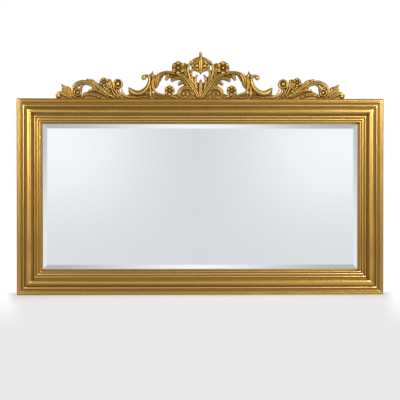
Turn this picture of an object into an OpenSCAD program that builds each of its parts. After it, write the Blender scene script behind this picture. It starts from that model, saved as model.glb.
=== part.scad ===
// Wall or overmantel mirror: mitred gilt frame, bevelled glass, pierced acanthus crest and back fittings.
// The frame stands on z = 0 with its middle at x = 0; the front faces -Y and the back +Y.
// "In" means the distance from the frame's outer edge, "rise" the height in front of the frame's back.

/* [Frame] */
// Width over the outer edges of the moulding
frame_w = 1500; // [1300:10:1800]
// Height of the moulded frame, without the crest
frame_h = 802; // [600:2:1100]
// Rounding of the four outer corners
corner_r = 5; // [2:0.5:8]

/* [Outer moulding] */
// Thickness of the moulding at its outer edge
edge_d = 35; // [34:0.5:40]
// Radius of the rounded front edge
edge_r = 9; // [6:0.5:12]
// Width of the flat quirk inside the rounded edge
quirk_w = 3.5; // [2:0.5:6]
// Radius of the thin arris bead
arris_r = 2.5; // [1.5:0.25:3.5]
// Radius of the hollow between the arris and the bead
groove_r = 4.25; // [3:0.25:6]
// Radius of the small bead
bead_r = 3.75; // [2.5:0.25:4.5]
// Width of the quirk between the small bead and the torus
torus_quirk_w = 2.5; // [1.5:0.5:5]
// Radius of the large torus on its broad outer side
torus_r = 18; // [15:0.5:20]
// Radius of the large torus on its short inner side
torus_fall_r = 10; // [7:0.5:12]
// Rise of the torus crown in front of the back
mould_d = 49; // [46:0.5:56]
// Width of the flat fillet inside the torus
fillet_w = 4; // [2:0.5:8]
// Rise of the sunk faces beside the torus
sunk_d = 31; // [28:0.5:32]

/* [Inner slip] */
// Width of the quirk beside the outer moulding
slip_quirk_w = 2.2; // [1.5:0.1:4]
// Radius of the slip's outer bead
slip_bead_r = 3.6; // [2.5:0.1:4.5]
// Width of the quirk between bead and ovolo
ovolo_quirk_w = 3.1; // [2:0.1:5]
// Radius of the ovolo
ovolo_r = 4.5; // [3:0.1:5.5]
// Width of the quirk between ovolo and sight bead
sight_quirk_w = 1.6; // [1:0.1:3]
// Radius of the sight bead
sight_bead_r = 2.6; // [1.5:0.1:3.5]
// Step down from the sunk faces of the moulding to the slip's outer face
slip_drop = 5; // [4:0.5:6]
// Step down from the slip's outer face to the face behind the ovolo
ovolo_drop = 1.5; // [0.5:0.25:2]
// Step down from the face behind the ovolo to the sight bead's face
sight_drop = 3; // [2.5:0.25:3.5]
// Width of the slope that runs down to the glass
slope_w = 7.7; // [5:0.1:12]
// Thickness of the lip at the glass
lip_t = 2.9; // [2:0.1:4]
// How far the lip reaches past the rebate
lip_w = 10; // [8:0.5:14]

/* [Mirror plate] */
// Thickness of the glass
glass_t = 5; // [4:0.5:6]
// Width of the bevel
bevel_w = 26; // [15:1:38]
// Thickness of the glass at its rim
bevel_edge_t = 3; // [2:0.25:3.5]
// Gap between the glass and the rebate
glass_gap = 2; // [1:0.5:4]
// Thickness of the foam tape behind the lip
tape_t = 1; // [0.5:0.25:2]
// Width of the foam tape
tape_w = 5; // [3:0.5:6]
// Length of a setting block under the glass
block_l = 60; // [30:5:100]

/* [Back] */
// Thickness of the backboard
board_t = 5; // [3:0.5:8]
// Gap between the backboard and the rebate
board_gap = 1.5; // [0.5:0.5:3]
// Length of a turn button
button_l = 32; // [26:1:40]
// Width of a turn button
button_w = 12; // [9:0.5:16]
// Thickness of a turn button
button_t = 1.5; // [1:0.25:2.5]
// Distance of a turn button's screw from the rebate
button_in = 10; // [8:0.5:14]
// Distance of the outer turn buttons on the long rails from the frame's sides
button_end = 270; // [200:10:400]
// Length of a corner plate's arm
corner_plate_l = 80; // [50:5:100]
// Distance of a corner plate from the frame's edge
corner_plate_in = 30; // [24:1:40]
// Width of the steel plates
plate_w = 16; // [12:1:20]
// Thickness of the steel plates
plate_t = 2; // [1:0.5:3]
// Length of a mitre spline
spline_l = 44; // [24:2:60]
// Width of a mitre spline across the joint
spline_w = 18; // [12:1:24]
// Thickness of a mitre spline
spline_t = 4; // [3:0.5:6]
// Distance of a mitre spline's middle from the outer edges
spline_in = 42; // [36:1:44]
// Rise of the mitre splines in front of the back
spline_rise = 18; // [16:1:20]
// Radius of a wall bumper
bumper_r = 7; // [5:0.5:9]
// Height of a wall bumper
bumper_h = 8; // [7.5:0.5:14]

/* [Screws] */
// Shank radius of the screws
screw_r = 1.75; // [1.25:0.25:2.25]
// Length of the screws in the wood
screw_l = 14; // [8:1:20]
// Head radius of the screws
screw_head_r = 3.4; // [3:0.1:4.2]
// Head height of the screws
screw_head_h = 2; // [1.2:0.1:2.4]
// Length of the mending plates' screws in the wood
mending_screw_l = 9; // [6:0.5:10]

/* [Hangers] */
// Distance of the hangers below the frame's top edge
hanger_drop = 170; // [120:5:300]
// Length of a hanger strap
strap_l = 50; // [44:1:70]
// Width of a hanger strap
strap_w = 16; // [12:1:20]
// Thickness of a hanger strap
strap_t = 1.2; // [1:0.1:2]
// Wire radius of a D-ring
wire_r = 2; // [1.5:0.1:2.4]
// Radius of the D-ring's bow to the middle of its wire
ring_r = 16; // [14:0.5:20]
// Radius of the D-ring's corners to the middle of its wire
ring_corner_r = 5; // [4:0.5:6]

/* [Crest] */
// Width of the crest
crest_w = 1188; // [1040:4:1280]
// Height of the crest above the frame
crest_h = 192; // [168:2:230]
// Greatest relief of the crest in front of the frame's back
crest_d = 30; // [24:1:40]
// Thickness of the crest's ground
ground_t = 13; // [11:0.5:16]
// Rise of the seats that carry the rosettes
seat_d = 15; // [13:0.5:18]
// Radius of the upper rosettes
upper_rosette_r = 26; // [20:0.5:28]
// Radius of the lower rosettes
lower_rosette_r = 20.5; // [15:0.5:22]
// Radius of the end rosettes
end_rosette_r = 17; // [14:0.5:19]
// Radius of the crest dowels
dowel_r = 3; // [2.5:0.25:4]
// Depth of a dowel in the top rail
dowel_rail_l = 22; // [12:1:30]
// Depth of a dowel in the crest
dowel_crest_l = 8; // [6:0.5:8.5]
// Half the length of a mending plate
mending_l = 31; // [26:1:36]

/* [Hidden] */
$fn = 48;

GOLD = [0.69, 0.53, 0.27];
LEAF_GOLD = [0.72, 0.56, 0.29];
GLASS = [0.84, 0.87, 0.88];
STEEL = [0.72, 0.72, 0.7];
WOOD = [0.76, 0.62, 0.43];
BOARD = [0.55, 0.42, 0.3];
FELT = [0.14, 0.14, 0.14];

// A length long enough to cut right through any rail
through = 200;
// How far a cut reaches past the face that it opens, and a mitre past the moulding
past = 1;
mitre_past = 20;
// How far the hollow bites into the arris
arris_bite = 0.6;
// Places across the outer moulding
arris_in = edge_r + quirk_w + arris_r;
groove_in = arris_in + arris_r + groove_r - arris_bite;
bead_in = groove_in + groove_r + bead_r;
torus_in = bead_in + bead_r + torus_quirk_w + torus_r;
face_w = torus_in + torus_fall_r + fillet_w;
// Rises of the faces that carry the beads
arris_drop = 1.5;
bead_proud = 0.5;
arris_d = edge_d - arris_drop;
bead_d = sunk_d + bead_proud;
// Places across the slip
slip_bead_in = face_w + slip_quirk_w + slip_bead_r;
ovolo_in = slip_bead_in + slip_bead_r + ovolo_quirk_w + ovolo_r;
sight_bead_in = ovolo_in + ovolo_r + sight_quirk_w + sight_bead_r;
mould_w = sight_bead_in + sight_bead_r + slope_w;
rebate_in = mould_w - lip_w;
// The glass lies on the backboard, and the lip lies on the tape over the glass
lap_w = lip_w - glass_gap;
lap_glass_t = bevel_edge_t + (glass_t - bevel_edge_t) * lap_w / bevel_w;
seat_rise = board_t + lap_glass_t + tape_t;
// Rises of the slip's faces, and of the middles of its rounds
ovolo_sink = 1.5;
foot_drop = 1;
foot_in = 0.4;
slip_face_d = sunk_d - slip_drop;
slip_bead_d = slip_face_d + bead_proud;
ovolo_face_d = slip_face_d - ovolo_drop;
ovolo_d = ovolo_face_d - ovolo_sink;
sight_d = ovolo_face_d - sight_drop;
slope_d = sight_d - foot_drop;
bead_foot = sight_bead_r - foot_in;
// The middle of the whole depth lies on y = 0
back_y = (mould_d - bumper_h) / 2;
top_z = frame_h;
glass_w = frame_w - 2 * (rebate_in + glass_gap);
glass_h = frame_h - 2 * (rebate_in + glass_gap);
board_w = frame_w - 2 * (rebate_in + board_gap);
board_h = frame_h - 2 * (rebate_in + board_gap);
// Clearances
screw_gap = 0.05;
pilot_gap = 1;
seat_gap = 1;
plate_gap = 0.15;
button_gap = 0.15;
pivot_gap = 0.08;
spline_gap = 0.2;
dowel_gap = 0.1;
carved_gap = 0.3;
joint_gap = 0.2;
wire_gap = 0.06;
flap_gap = 0.35;
seam_gap = 0.05;
tape_in = 0.5;
// Screw heads: radius of their flat face, and the cross slot in it
head_slope = 0.7;
screw_face_r = screw_head_r - head_slope;
slot_reach = screw_face_r - head_slope;
slot_w = 0.9;
slot_d = screw_head_h / 2;
// Back fittings
hole_edge = 8;
corner_holes = [corner_plate_l / 2, corner_plate_l - plate_w / 2 - hole_edge];
button_from_edge = rebate_in - button_in;
button_pitch = frame_w / 2 - button_end;
button_rise = button_gap + button_t + button_gap;
wire_rise = strap_t + wire_r + flap_gap;
strap_edge = 2;
hanger_x = frame_w / 2 - rebate_in / 2;
hanger_z = frame_h - hanger_drop;
ring_reach = ring_corner_r + ring_r + wire_r;
strap_holes = [ring_reach + strap_edge + screw_head_r, strap_l - strap_edge - screw_head_r];
bumper_from_edge = 1;
bumper_slope = 1.05;
bumper_in = 2 * bumper_r + bumper_from_edge;
bumper_end_r = bumper_r - bumper_slope;

// Crest: points are drawn for this width and height, and follow crest_w and crest_h
drawn_w = 1188;
drawn_h = 192;
drawn_d = 30;
wide = crest_w / drawn_w;
tall = crest_h / drawn_h;
deep = crest_d / drawn_d;
centre_half_w = 202;
scroll_out = 326;
volute_z = 40;
finial_r = 7;
finial_d = 22;
upper_rosette = [92, 126];
lower_rosette = [127, 33];
end_rosette = [396, 68];
dowels_x = [40, 160, 232, 300, 404, 500, 555];
mending_x = [0, 255, 380];
mending_holes = [8, 23];
dowel_rise = 6.5;
petals = 6;
carved_fn = 8;
petal_fn = 6;
disc_fn = 20;
seat_fn = 28;
// Balls of a petal, [forward, out, radius], and of the flower's middle, [forward, radius, base radius],
// all as shares of the rosette's radius
PETAL_NECK = [0.05, 0.3, 0.2];
PETAL_TIP = [0.12, 0.63, 0.37];
FLOWER_RING = [0.36, 0.17, 0.26];
FLOWER_BEAD = [0.4, 0.15, 0.2];

// Carved fronds. Each point is [out from the middle, above the frame, half width, relief].
STEM_LEAF = [[9, 8, 5, 18], [17, 40, 6, 22], [22, 70, 6, 23], [19, 90, 5, 22], [11, 99, 1.5, 12]];
INNER_STEM = [[24, 35, 6, 20], [33, 68, 6, 24], [37, 92, 5, 24], [38, 113, 5, 22], [31, 123, 4, 18]];
OUTER_STEM = [[28, 40, 6, 20], [40, 76, 7, 26], [50, 105, 6, 27], [52, 125, 5.5, 27], [47, 141, 5, 26],
    [36, 151, 5, 24], [20, 157, 4, 18]];
STEM_HUSK = [[53, 76, 8, 20], [60, 100, 8, 22], [64, 125, 7, 20], [64, 147, 2.5, 12]];
ROSETTE_STEM = [[72, 92, 9, 16], [86, 112, 10, 15], [90, 130, 10, 15]];
LEAF_BODY = [[12, 12, 12, 16], [30, 40, 13, 18], [50, 62, 13, 19], [70, 80, 10, 18]];
MIDRIB = [[9, 5, 7, 20], [20, 27, 9, 24], [34, 49, 10, 27], [50, 72, 10, 28], [69, 90, 9, 28],
    [91, 101, 9, 28], [116, 106, 8, 28], [141, 107, 8, 29], [161, 101, 9, 29], [174, 89, 12, 28],
    [179, 73, 12, 26],
    [181, 59, 10, 22], [184, 45, 4, 14]];
CURL_LOBE = [[158, 96, 6, 20], [163, 83, 4, 18], [166, 72, 1.5, 12]];
THIRD_LOBE = [[136, 103, 8, 22], [136, 88, 7.5, 22], [143, 73, 3, 16]];
SECOND_LOBE = [[52, 66, 8, 22], [75, 82, 7, 25], [96, 85, 7.5, 26], [112, 80, 7, 24], [122, 69, 2.5, 16]];
FIRST_LOBE = [[40, 45, 7, 22], [59, 62, 6, 24], [75, 68, 6, 24], [87, 63, 6, 22], [91, 54, 2, 14]];
LOW_LEAF = [[14, 14, 6, 20], [30, 35, 7, 24], [48, 45, 7, 26], [69, 46, 7, 26], [83, 38, 7, 24],
    [90, 23, 7, 22], [88, 8, 5, 18]];
INNER_SCROLL = [[170, 24, 6, 22], [182, 30, 4.5, 21], [191, 43, 4.5, 22], [194, 59, 4.5, 24],
    [193, 78, 5, 25], [184, 96, 5, 22]];
CROWN_SPIKE = [[192, 76, 5, 20], [196, 96, 4, 18], [197, 114, 1, 12]];
LOWER_ROSETTE_STEM = [[127, 6, 9, 15], [127, 38, 9, 15]];
SHELL_POINT = [[0, 101, 1.5, 14], [0, 116, 7, 23], [0, 137, 9, 27], [0, 158, 8, 26], [0, 180, 4.5, 20]];
SHELL_LOW = [[3, 112, 5, 16], [16, 119, 6, 19], [29, 121, 5, 18], [35, 128, 2.5, 14]];
SHELL_SIDE = [[3, 130, 8, 18], [18, 144, 8, 20], [33, 152, 5, 18], [43, 156, 1.5, 12]];
SHELL_SHOULDER = [[2, 150, 7, 20], [15, 160, 7, 22], [26, 164, 5, 18], [32, 161, 2, 14]];
BUD = [[0, 2, 9, 22], [0, 20, 10, 24], [0, 50, 8, 24], [0, 70, 6.5, 22], [0, 80, 2, 14]];

BIG_SCROLL = [[295, 46, 2.5, 14], [287, 37, 8, 20], [277, 29, 10, 24], [263, 24, 10.5, 27],
    [247, 25, 10.5, 29], [231, 33, 10, 29], [219, 46, 9, 28], [211, 62, 8, 27], [209, 80, 7, 26],
    [214, 92, 6, 25],
    [223, 95, 6, 24], [232, 88, 7, 24]];
SCROLL_LEAF = [[296, 28, 2, 14], [284, 24, 6, 18], [268, 16, 6, 18]];
CROWN_LEAF = [[204, 70, 4.5, 20], [205, 90, 4.5, 20], [206, 102, 1.5, 12]];
PILLAR = [[207, 6, 6, 20], [206, 40, 5.5, 20], [206, 76, 4, 20]];
HOOK_LEAF = [[323, 40, 2, 14], [321, 26, 4.5, 18], [311, 13, 5.5, 20], [292, 7, 5, 20], [268, 6, 4, 18]];

VOLUTE = [[334, 6, 5, 18], [348, 20, 7, 22], [357, 41, 6.5, 25], [357, 62, 6, 27], [349, 73, 6, 28],
    [336, 76, 6, 28], [325, 69, 6, 28], [321, 57, 5.5, 27], [328, 47, 5, 26]];
VOLUTE_STEM = [[341, 46, 7, 18], [337, 28, 7, 21], [329, 10, 6, 18]];
SIDE_STEM = [[367, 77, 4, 16], [366, 52, 5, 22], [360, 31, 5.5, 23], [349, 14, 5, 20], [338, 6, 4, 16]];
ROSETTE_LEAF = [[360, 8, 8, 18], [380, 27, 11, 20], [399, 47, 12, 20], [414, 64, 5, 16]];
BLOSSOM_LEAF = [[374, 43, 9, 20], [377, 64, 8, 22], [377, 80, 4, 14]];
TOP_RIB = [[354, 6, 7, 20], [378, 18, 8, 24], [403, 37, 9, 26], [424, 55, 9, 27], [441, 71, 7, 24],
    [449, 79, 2, 14]];
NEXT_RIB = [[430, 50, 8, 22], [447, 66, 8, 25], [459, 76, 6, 22], [467, 81, 2, 14]];
ARCH = [[391, 20, 8, 20], [424, 43, 9, 23], [448, 59, 9, 25], [469, 66, 10, 26], [489, 66, 10, 27],
    [508, 59, 9, 27], [520, 47, 7, 27], [524, 31, 6, 26], [519, 16, 5.5, 25], [504, 9, 5, 24],
    [491, 15, 4.5, 23], [486, 27, 4, 22], [489, 40, 3, 18]];
INNER_ARCH = [[512, 18, 4.5, 18], [514, 31, 5, 21], [510, 43, 5, 22], [501, 52, 4, 22], [489, 58, 3, 20]];
TEAR_RIB = [[489, 36, 5, 20], [490, 48, 5, 22], [482, 58, 7, 22]];
LOWER_LEAF = [[374, 8, 8, 18], [395, 20, 8, 22], [415, 31, 8, 24], [436, 36, 7, 24], [452, 35, 5.5, 20],
    [460, 30, 2, 14]];
GROUND_LEAF = [[411, 9, 8, 16], [436, 17, 9, 19], [460, 19, 8, 18], [478, 15, 6, 16]];
END_CURL = [[530, 6, 6, 18], [551, 15, 8, 22], [567, 22, 8, 24], [580, 22, 7.5, 24], [587, 14, 7, 22],
    [586, 5, 5, 18]];
END_LOBE = [[528, 16, 8, 18], [547, 35, 10, 22], [559, 47, 8, 22], [569, 58, 2.5, 14]];
MIDDLE_LOBE = [[536, 14, 8, 18], [555, 27, 8, 20], [568, 39, 3, 14]];
INSIDE_LOBE = [[526, 10, 7, 18], [536, 28, 10, 20], [541, 42, 8, 18], [544, 49, 3, 14]];

CENTRE_GROUND = [[0, 0], [210, 0], [210, 100], [203, 100], [200, 24], [188, 24], [180, 18], [152, 20],
    [142, 20], [138, 14], [116, 14], [108, 18], [98, 22], [88, 22], [84, 36], [74, 48], [70, 56],
    [60, 60], [50, 68], [24, 56], [14, 68], [6, 66], [0, 66]];
STEM_GROUND = [[8, 20], [20, 60], [23, 88], [32, 92], [38, 116], [47, 119], [50, 130], [55, 144],
    [71, 146], [84, 138], [110, 110], [96, 96], [76, 88], [50, 60], [30, 20]];
LOBE_GROUND = [[50, 66], [91, 98], [116, 103], [134, 101], [125, 84], [112, 82], [92, 86], [70, 80]];
SHELL_GROUND = [[0, 104], [12, 114], [31, 119], [31, 132], [42, 153], [30, 162], [8, 172], [0, 174]];
SCROLL_GROUND = [[200, 0], [326, 0], [326, 20], [316, 14], [305, 12], [285, 26], [262, 22], [245, 24],
    [230, 32], [216, 46], [208, 62], [208, 86], [200, 86]];
END_GROUND = [[320, 0], [590, 0], [588, 5], [578, 16], [560, 20], [535, 20], [520, 16], [485, 14],
    [481, 24], [468, 28], [455, 30], [436, 34], [415, 36], [400, 50], [388, 72], [378, 77],
    [366, 73], [362, 46], [345, 50], [333, 42], [330, 29], [326, 22], [320, 22]];

// Carved balls. Each is [out from the middle, above the frame, radius, relief].
CENTRE_BALLS = [[17, 133, 7, 24], [170, 25, 7, 24], [56, 30, 9, 20], [151, 17, 6, 17]];
SCROLL_BALLS = [[232, 87, 9, 27], [207, 12, 5, 22], [207, 24, 5, 21.5], [207, 36, 5, 21], [207, 48, 5, 20],
    [215, 28, 4.5, 18], [222, 22, 4.5, 18], [230, 17, 4.5, 18]];
END_BALLS = [[339, 61, 9, 25], [502, 27, 12, 27], [417, 7, 5, 24], [382, 53, 5, 24], [375, 30, 5, 24],
    [367, 12, 5, 24], [393, 30, 5, 24], [485, 10, 5, 24], [580, 10, 7, 21]];
// Flat discs behind the two volutes. Each is [out, above, radius].
VOLUTE_DISC = [340, 60, 18];
EYE_DISC = [502, 26, 15];

// Cross-section of a frond, from one back edge over the crest line to the other: [across, up]
SECTION = [[-1, 0], [-1, 0.45], [-0.62, 0.84], [0, 1], [0.62, 0.84], [1, 0.45], [1, 0]];

// Curves
function curve_at(p, i, t) =
    let (a = p[max(i - 1, 0)], b = p[i], c = p[i + 1], d = p[min(i + 2, len(p) - 1)])
    b + 0.5 * t * ((c - a) + t * ((2 * a - 5 * b + 4 * c - d) + t * (3 * (b - c) + d - a)));
function curve(p, steps) = concat(
    [for (i = [0:len(p) - 2], k = [0:steps - 1]) curve_at(p, i, k / steps)],
    [p[len(p) - 1]]);
function heading(p, i) =
    let (d = p[min(i + 1, len(p) - 1)] - p[max(i - 1, 0)], n = norm([d[0], d[1]]))
    [d[0] / n, d[1] / n];
function placed(p) = [for (q = p) [q[0] * wide, q[1] * tall, q[2], q[3] * deep]];
function drawn(p) = [for (q = p) [q[0] * wide, q[1] * tall]];

// A closed carved ribbon with a flat back, swept along a frond's points
module frond(points, steps = 2) {
    path = curve(placed(points), steps);
    sides = len(SECTION);
    last = len(path) - 1;
    corners = [for (i = [0:last], s = SECTION)
        let (d = heading(path, i), q = path[i])
        [q[0] - d[1] * s[0] * q[2], back_y - s[1] * q[3], top_z + q[1] + d[0] * s[0] * q[2]]];
    skin = [for (i = [0:last - 1], k = [0:sides - 1], half = [0, 1])
        let (a = i * sides + k, b = i * sides + (k + 1) % sides)
        half == 0 ? [a, b, b + sides] : [a, b + sides, a + sides]];
    first_cap = [for (k = [1:sides - 2]) [0, k + 1, k]];
    last_cap = [for (k = [1:sides - 2]) [last * sides, last * sides + k, last * sides + k + 1]];
    polyhedron(corners, concat(skin, first_cap, last_cap));
}

module fronds(lists, steps = 2) {
    for (p = lists) frond(p, steps);
}

// A flat-backed layer of the crest, from its back to the given rise
module layer(outline, rise) {
    translate([0, back_y, top_z])
        rotate([90, 0, 0])
            linear_extrude(rise) polygon(drawn(outline));
}

module disc(place, rise) {
    translate([place[0] * wide, back_y, top_z + place[1] * tall])
        rotate([90, 0, 0]) cylinder(rise, place[2], place[2], $fn = disc_fn);
}

// Carved balls on flat backs
module balls(places) {
    for (p = places)
        translate([p[0] * wide, back_y, top_z + p[1] * tall])
            hull() {
                translate([0, p[2] - p[3] * deep, 0]) sphere(p[2], $fn = carved_fn);
                rotate([90, 0, 0]) cylinder(past, p[2], p[2], $fn = carved_fn);
            }
}

// A round cut from the given rise out to the front
module seat_cut(at, r) {
    translate([at[0] * wide, back_y - seat_d, top_z + at[1] * tall])
        rotate([90, 0, 0]) cylinder(through, r, r, $fn = seat_fn);
}

// Frame
// A point of a section: distance in from the outer edge, and rise in front of the back
function at(in, rise) = [back_y - rise, in];

module round_at(in, rise, r) {
    translate(at(in, rise)) circle(r);
}

module outer_section() {
    union() {
        difference() {
            union() {
                polygon([at(0, 0), at(rebate_in, 0), at(rebate_in, seat_rise), at(face_w, seat_rise),
                    at(face_w, sunk_d), at(torus_in + torus_fall_r, sunk_d),
                    at(torus_in + torus_fall_r, mould_d - torus_fall_r), at(torus_in, mould_d - torus_fall_r),
                    at(torus_in, sunk_d), at(groove_in, sunk_d), at(groove_in, arris_d),
                    at(edge_r, arris_d), at(edge_r, edge_d - edge_r), at(0, edge_d - edge_r)]);
                intersection() {
                    round_at(edge_r, edge_d - edge_r, edge_r);
                    translate(at(0, edge_d + past)) square([edge_r + 2 * past, edge_r]);
                }
                round_at(arris_in, arris_d, arris_r);
                intersection() {
                    round_at(torus_in, mould_d - torus_r, torus_r);
                    translate(at(torus_in - torus_r - past, mould_d + past))
                        square([mould_d - sunk_d + 2 * past, torus_r + past]);
                }
                intersection() {
                    round_at(torus_in, mould_d - torus_fall_r, torus_fall_r);
                    translate(at(torus_in, mould_d + past)) square([torus_fall_r + 2 * past, torus_fall_r + past]);
                }
            }
            round_at(groove_in, arris_d, groove_r);
        }
        round_at(bead_in, bead_d, bead_r);
    }
}

module slip_section() {
    union() {
        polygon([at(face_w, seat_rise), at(mould_w, seat_rise), at(mould_w, seat_rise + lip_t),
            at(sight_bead_in + bead_foot, slope_d), at(sight_bead_in, sight_d),
            at(ovolo_in, sight_d), at(ovolo_in, ovolo_face_d), at(slip_bead_in, ovolo_face_d),
            at(slip_bead_in, slip_face_d), at(face_w, slip_face_d)]);
        round_at(slip_bead_in, slip_bead_d, slip_bead_r);
        round_at(ovolo_in, ovolo_d, ovolo_r);
        round_at(sight_bead_in, sight_d, sight_bead_r);
    }
}

// A mitred bar along X with its outer edge on z = 0 and its inner side up
module bar(len) {
    run = mould_w + mitre_past;
    difference() {
        intersection() {
            rotate([90, 0, 90]) translate([0, 0, -len / 2]) linear_extrude(len) children();
            rotate([90, 0, 0]) translate([0, 0, -through / 2]) linear_extrude(through)
                polygon([[-len / 2, 0], [len / 2, 0], [len / 2 - run, run], [run - len / 2, run]]);
        }
        for (s = [-1, 1])
            difference() {
                translate([s * (len / 2 - corner_r / 2 + past), 0, corner_r / 2 - past])
                    cube([corner_r + 2 * past, through, corner_r + 2 * past], center = true);
                translate([s * (len / 2 - corner_r), through, corner_r])
                    rotate([90, 0, 0]) cylinder(2 * through, corner_r, corner_r);
            }
    }
}

module at_top() {
    translate([0, 0, frame_h]) mirror([0, 0, 1]) children();
}

module at_right() {
    translate([frame_w / 2, 0, frame_h / 2]) rotate([0, -90, 0]) children();
}

module both_sides() {
    children();
    mirror([1, 0, 0]) children();
}

module four_corners() {
    for (x = [-1, 1], z = [0, 1])
        translate([x * frame_w / 2, 0, z * frame_h]) mirror([x > 0 ? 1 : 0, 0, 0])
            mirror([0, 0, z]) children();
}

// A hole or shank of the given reach into the wood, at [x, z] on the back
module into_back(places, r, reach) {
    for (p = places)
        translate([p[0], back_y + past, p[1]]) rotate([90, 0, 0]) cylinder(reach + past, r, r);
}

module pilots(places, len) {
    into_back(places, screw_r + screw_gap, len + pilot_gap);
}

// A screw with a cross slot, its head on a plate of the given thickness
module screws(places, rise, len) {
    for (p = places)
        translate([p[0], back_y + rise, p[1]]) rotate([-90, 0, 0])
            difference() {
                union() {
                    cylinder(screw_head_h, screw_head_r, screw_face_r);
                    translate([0, 0, -rise - len]) cylinder(rise + len + past / 2, screw_r, screw_r);
                }
                for (turn = [0, 90])
                    rotate([0, 0, turn]) translate([0, 0, screw_head_h])
                        cube([2 * slot_reach, slot_w, 2 * slot_d], center = true);
            }
}

function corner_screws_along() =
    [for (s = [-1, 1], h = corner_holes) [s * (frame_w / 2 - corner_plate_in - h), corner_plate_in]];
function corner_screws_up() =
    [for (z = [0, 1], h = corner_holes)
        [frame_w / 2 - corner_plate_in,
            z == 0 ? corner_plate_in + h : frame_h - corner_plate_in - h]];
function flipped(places) = [for (p = places) [p[0], frame_h - p[1]]];
function other_side(places) = [for (p = places) [-p[0], p[1]]];
function button_screws_along() = [for (s = [-1, 0, 1]) [s * button_pitch, button_from_edge]];
function button_screw_side() = [[frame_w / 2 - button_from_edge, frame_h / 2]];
function hanger_places() = [for (h = strap_holes) [hanger_x, hanger_z - h]];
function mending_places(up) =
    [for (x = mending_x, s = x == 0 ? [1] : [-1, 1], h = mending_holes)
        [s * x * wide, top_z + up * h]];

// Tongue that crosses a mitre, with a gap all round it for its slot
module spline(gap) {
    translate([spline_in, back_y - spline_rise, spline_in])
        rotate([0, -45, 0]) {
            cube([spline_l - spline_w, spline_t + 2 * gap, spline_w + 2 * gap], center = true);
            for (s = [-1, 1])
                translate([s * (spline_l - spline_w) / 2, 0, 0]) rotate([90, 0, 0])
                    cylinder(spline_t + 2 * gap, spline_w / 2 + gap, spline_w / 2 + gap, center = true);
        }
}

module dowels(gap) {
    for (x = dowels_x, s = [-1, 1])
        translate([s * x * wide, back_y - dowel_rise, top_z - dowel_rail_l - gap])
            cylinder(dowel_rail_l + dowel_crest_l + 2 * gap, dowel_r + gap, dowel_r + gap);
}

module along_rail() {
    difference() {
        bar(frame_w) outer_section();
        pilots(concat(corner_screws_along(), button_screws_along()), screw_l);
        translate([-frame_w / 2, 0, 0]) spline(spline_gap);
        translate([frame_w / 2, 0, 0]) mirror([1, 0, 0]) spline(spline_gap);
    }
}

module top_rail() {
    color(GOLD)
        difference() {
            at_top() along_rail();
            pilots(mending_places(-1), mending_screw_l);
            dowels(dowel_gap);
        }
}

module bottom_rail() {
    color(GOLD) along_rail();
}

module right_stile() {
    color(GOLD)
        difference() {
            at_right() bar(frame_h) outer_section();
            pilots(concat(corner_screws_up(), button_screw_side(), hanger_places()), screw_l);
            four_corners() spline(spline_gap);
        }
}

module left_stile() {
    mirror([1, 0, 0]) right_stile();
}

module bottom_slip() {
    color(GOLD)
        difference() {
            bar(frame_w) slip_section();
            pilots(button_screws_along(), screw_l);
        }
}

module top_slip() {
    at_top() bottom_slip();
}

module right_slip() {
    color(GOLD)
        difference() {
            at_right() bar(frame_h) slip_section();
            pilots(button_screw_side(), screw_l);
        }
}

module left_slip() {
    mirror([1, 0, 0]) right_slip();
}

module mitre_splines() {
    color(WOOD) four_corners() spline(0);
}

module corner_plate() {
    difference() {
        union() {
            translate([corner_plate_in - plate_w / 2, back_y, corner_plate_in - plate_w / 2]) {
                cube([corner_plate_l, plate_t, plate_w]);
                cube([plate_w, plate_t, corner_plate_l]);
            }
        }
        for (h = corner_holes) {
            plate_hole(corner_plate_in + h, corner_plate_in);
            plate_hole(corner_plate_in, corner_plate_in + h);
        }
    }
}

module plate_hole(x, z) {
    translate([x, back_y - past, z]) rotate([-90, 0, 0])
        cylinder(plate_t + 2 * past, screw_r + plate_gap, screw_r + plate_gap);
}

module corner_plates() {
    color(STEEL) four_corners() corner_plate();
}

module corner_plate_screws() {
    along = corner_screws_along();
    up = corner_screws_up();
    color(STEEL) screws(concat(along, flipped(along), up, other_side(up)), plate_t, screw_l);
}

// Mirror plate, backing and what holds them
module mirror_plate() {
    back = back_y - board_t;
    rim = back - bevel_edge_t;
    front = back - glass_t;
    w = glass_w / 2;
    h = glass_h / 2;
    color(GLASS)
        translate([0, 0, frame_h / 2])
            intersection() {
                rotate([90, 0, 90]) translate([0, 0, -w]) linear_extrude(2 * w)
                    polygon([[back, -h], [rim, -h], [front, bevel_w - h], [front, h - bevel_w],
                        [rim, h], [back, h]]);
                translate([0, 0, -h]) linear_extrude(2 * h)
                    polygon([[-w, back], [-w, rim], [bevel_w - w, front], [w - bevel_w, front],
                        [w, rim], [w, back]]);
            }
}

module rebate_tape() {
    inside = mould_w - tape_in;
    y = back_y - seat_rise;
    len_along = frame_w - 2 * (inside - tape_w);
    len_up = frame_h - 2 * inside;
    color(FELT) {
        for (z = [inside - tape_w, frame_h - inside])
            translate([-len_along / 2, y, z]) cube([len_along, tape_t, tape_w]);
        for (x = [inside - tape_w - frame_w / 2, frame_w / 2 - inside])
            translate([x, y, inside]) cube([tape_w, tape_t, len_up]);
    }
}

module setting_blocks() {
    color(FELT)
        for (s = [-1, 1])
            translate([s * glass_w / 4 - block_l / 2, back_y - board_t - bevel_edge_t, rebate_in])
                cube([block_l, bevel_edge_t, glass_gap]);
}

module backboard() {
    color(BOARD)
        translate([-board_w / 2, back_y - board_t, rebate_in + board_gap])
            cube([board_w, board_t, board_h]);
}

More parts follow.
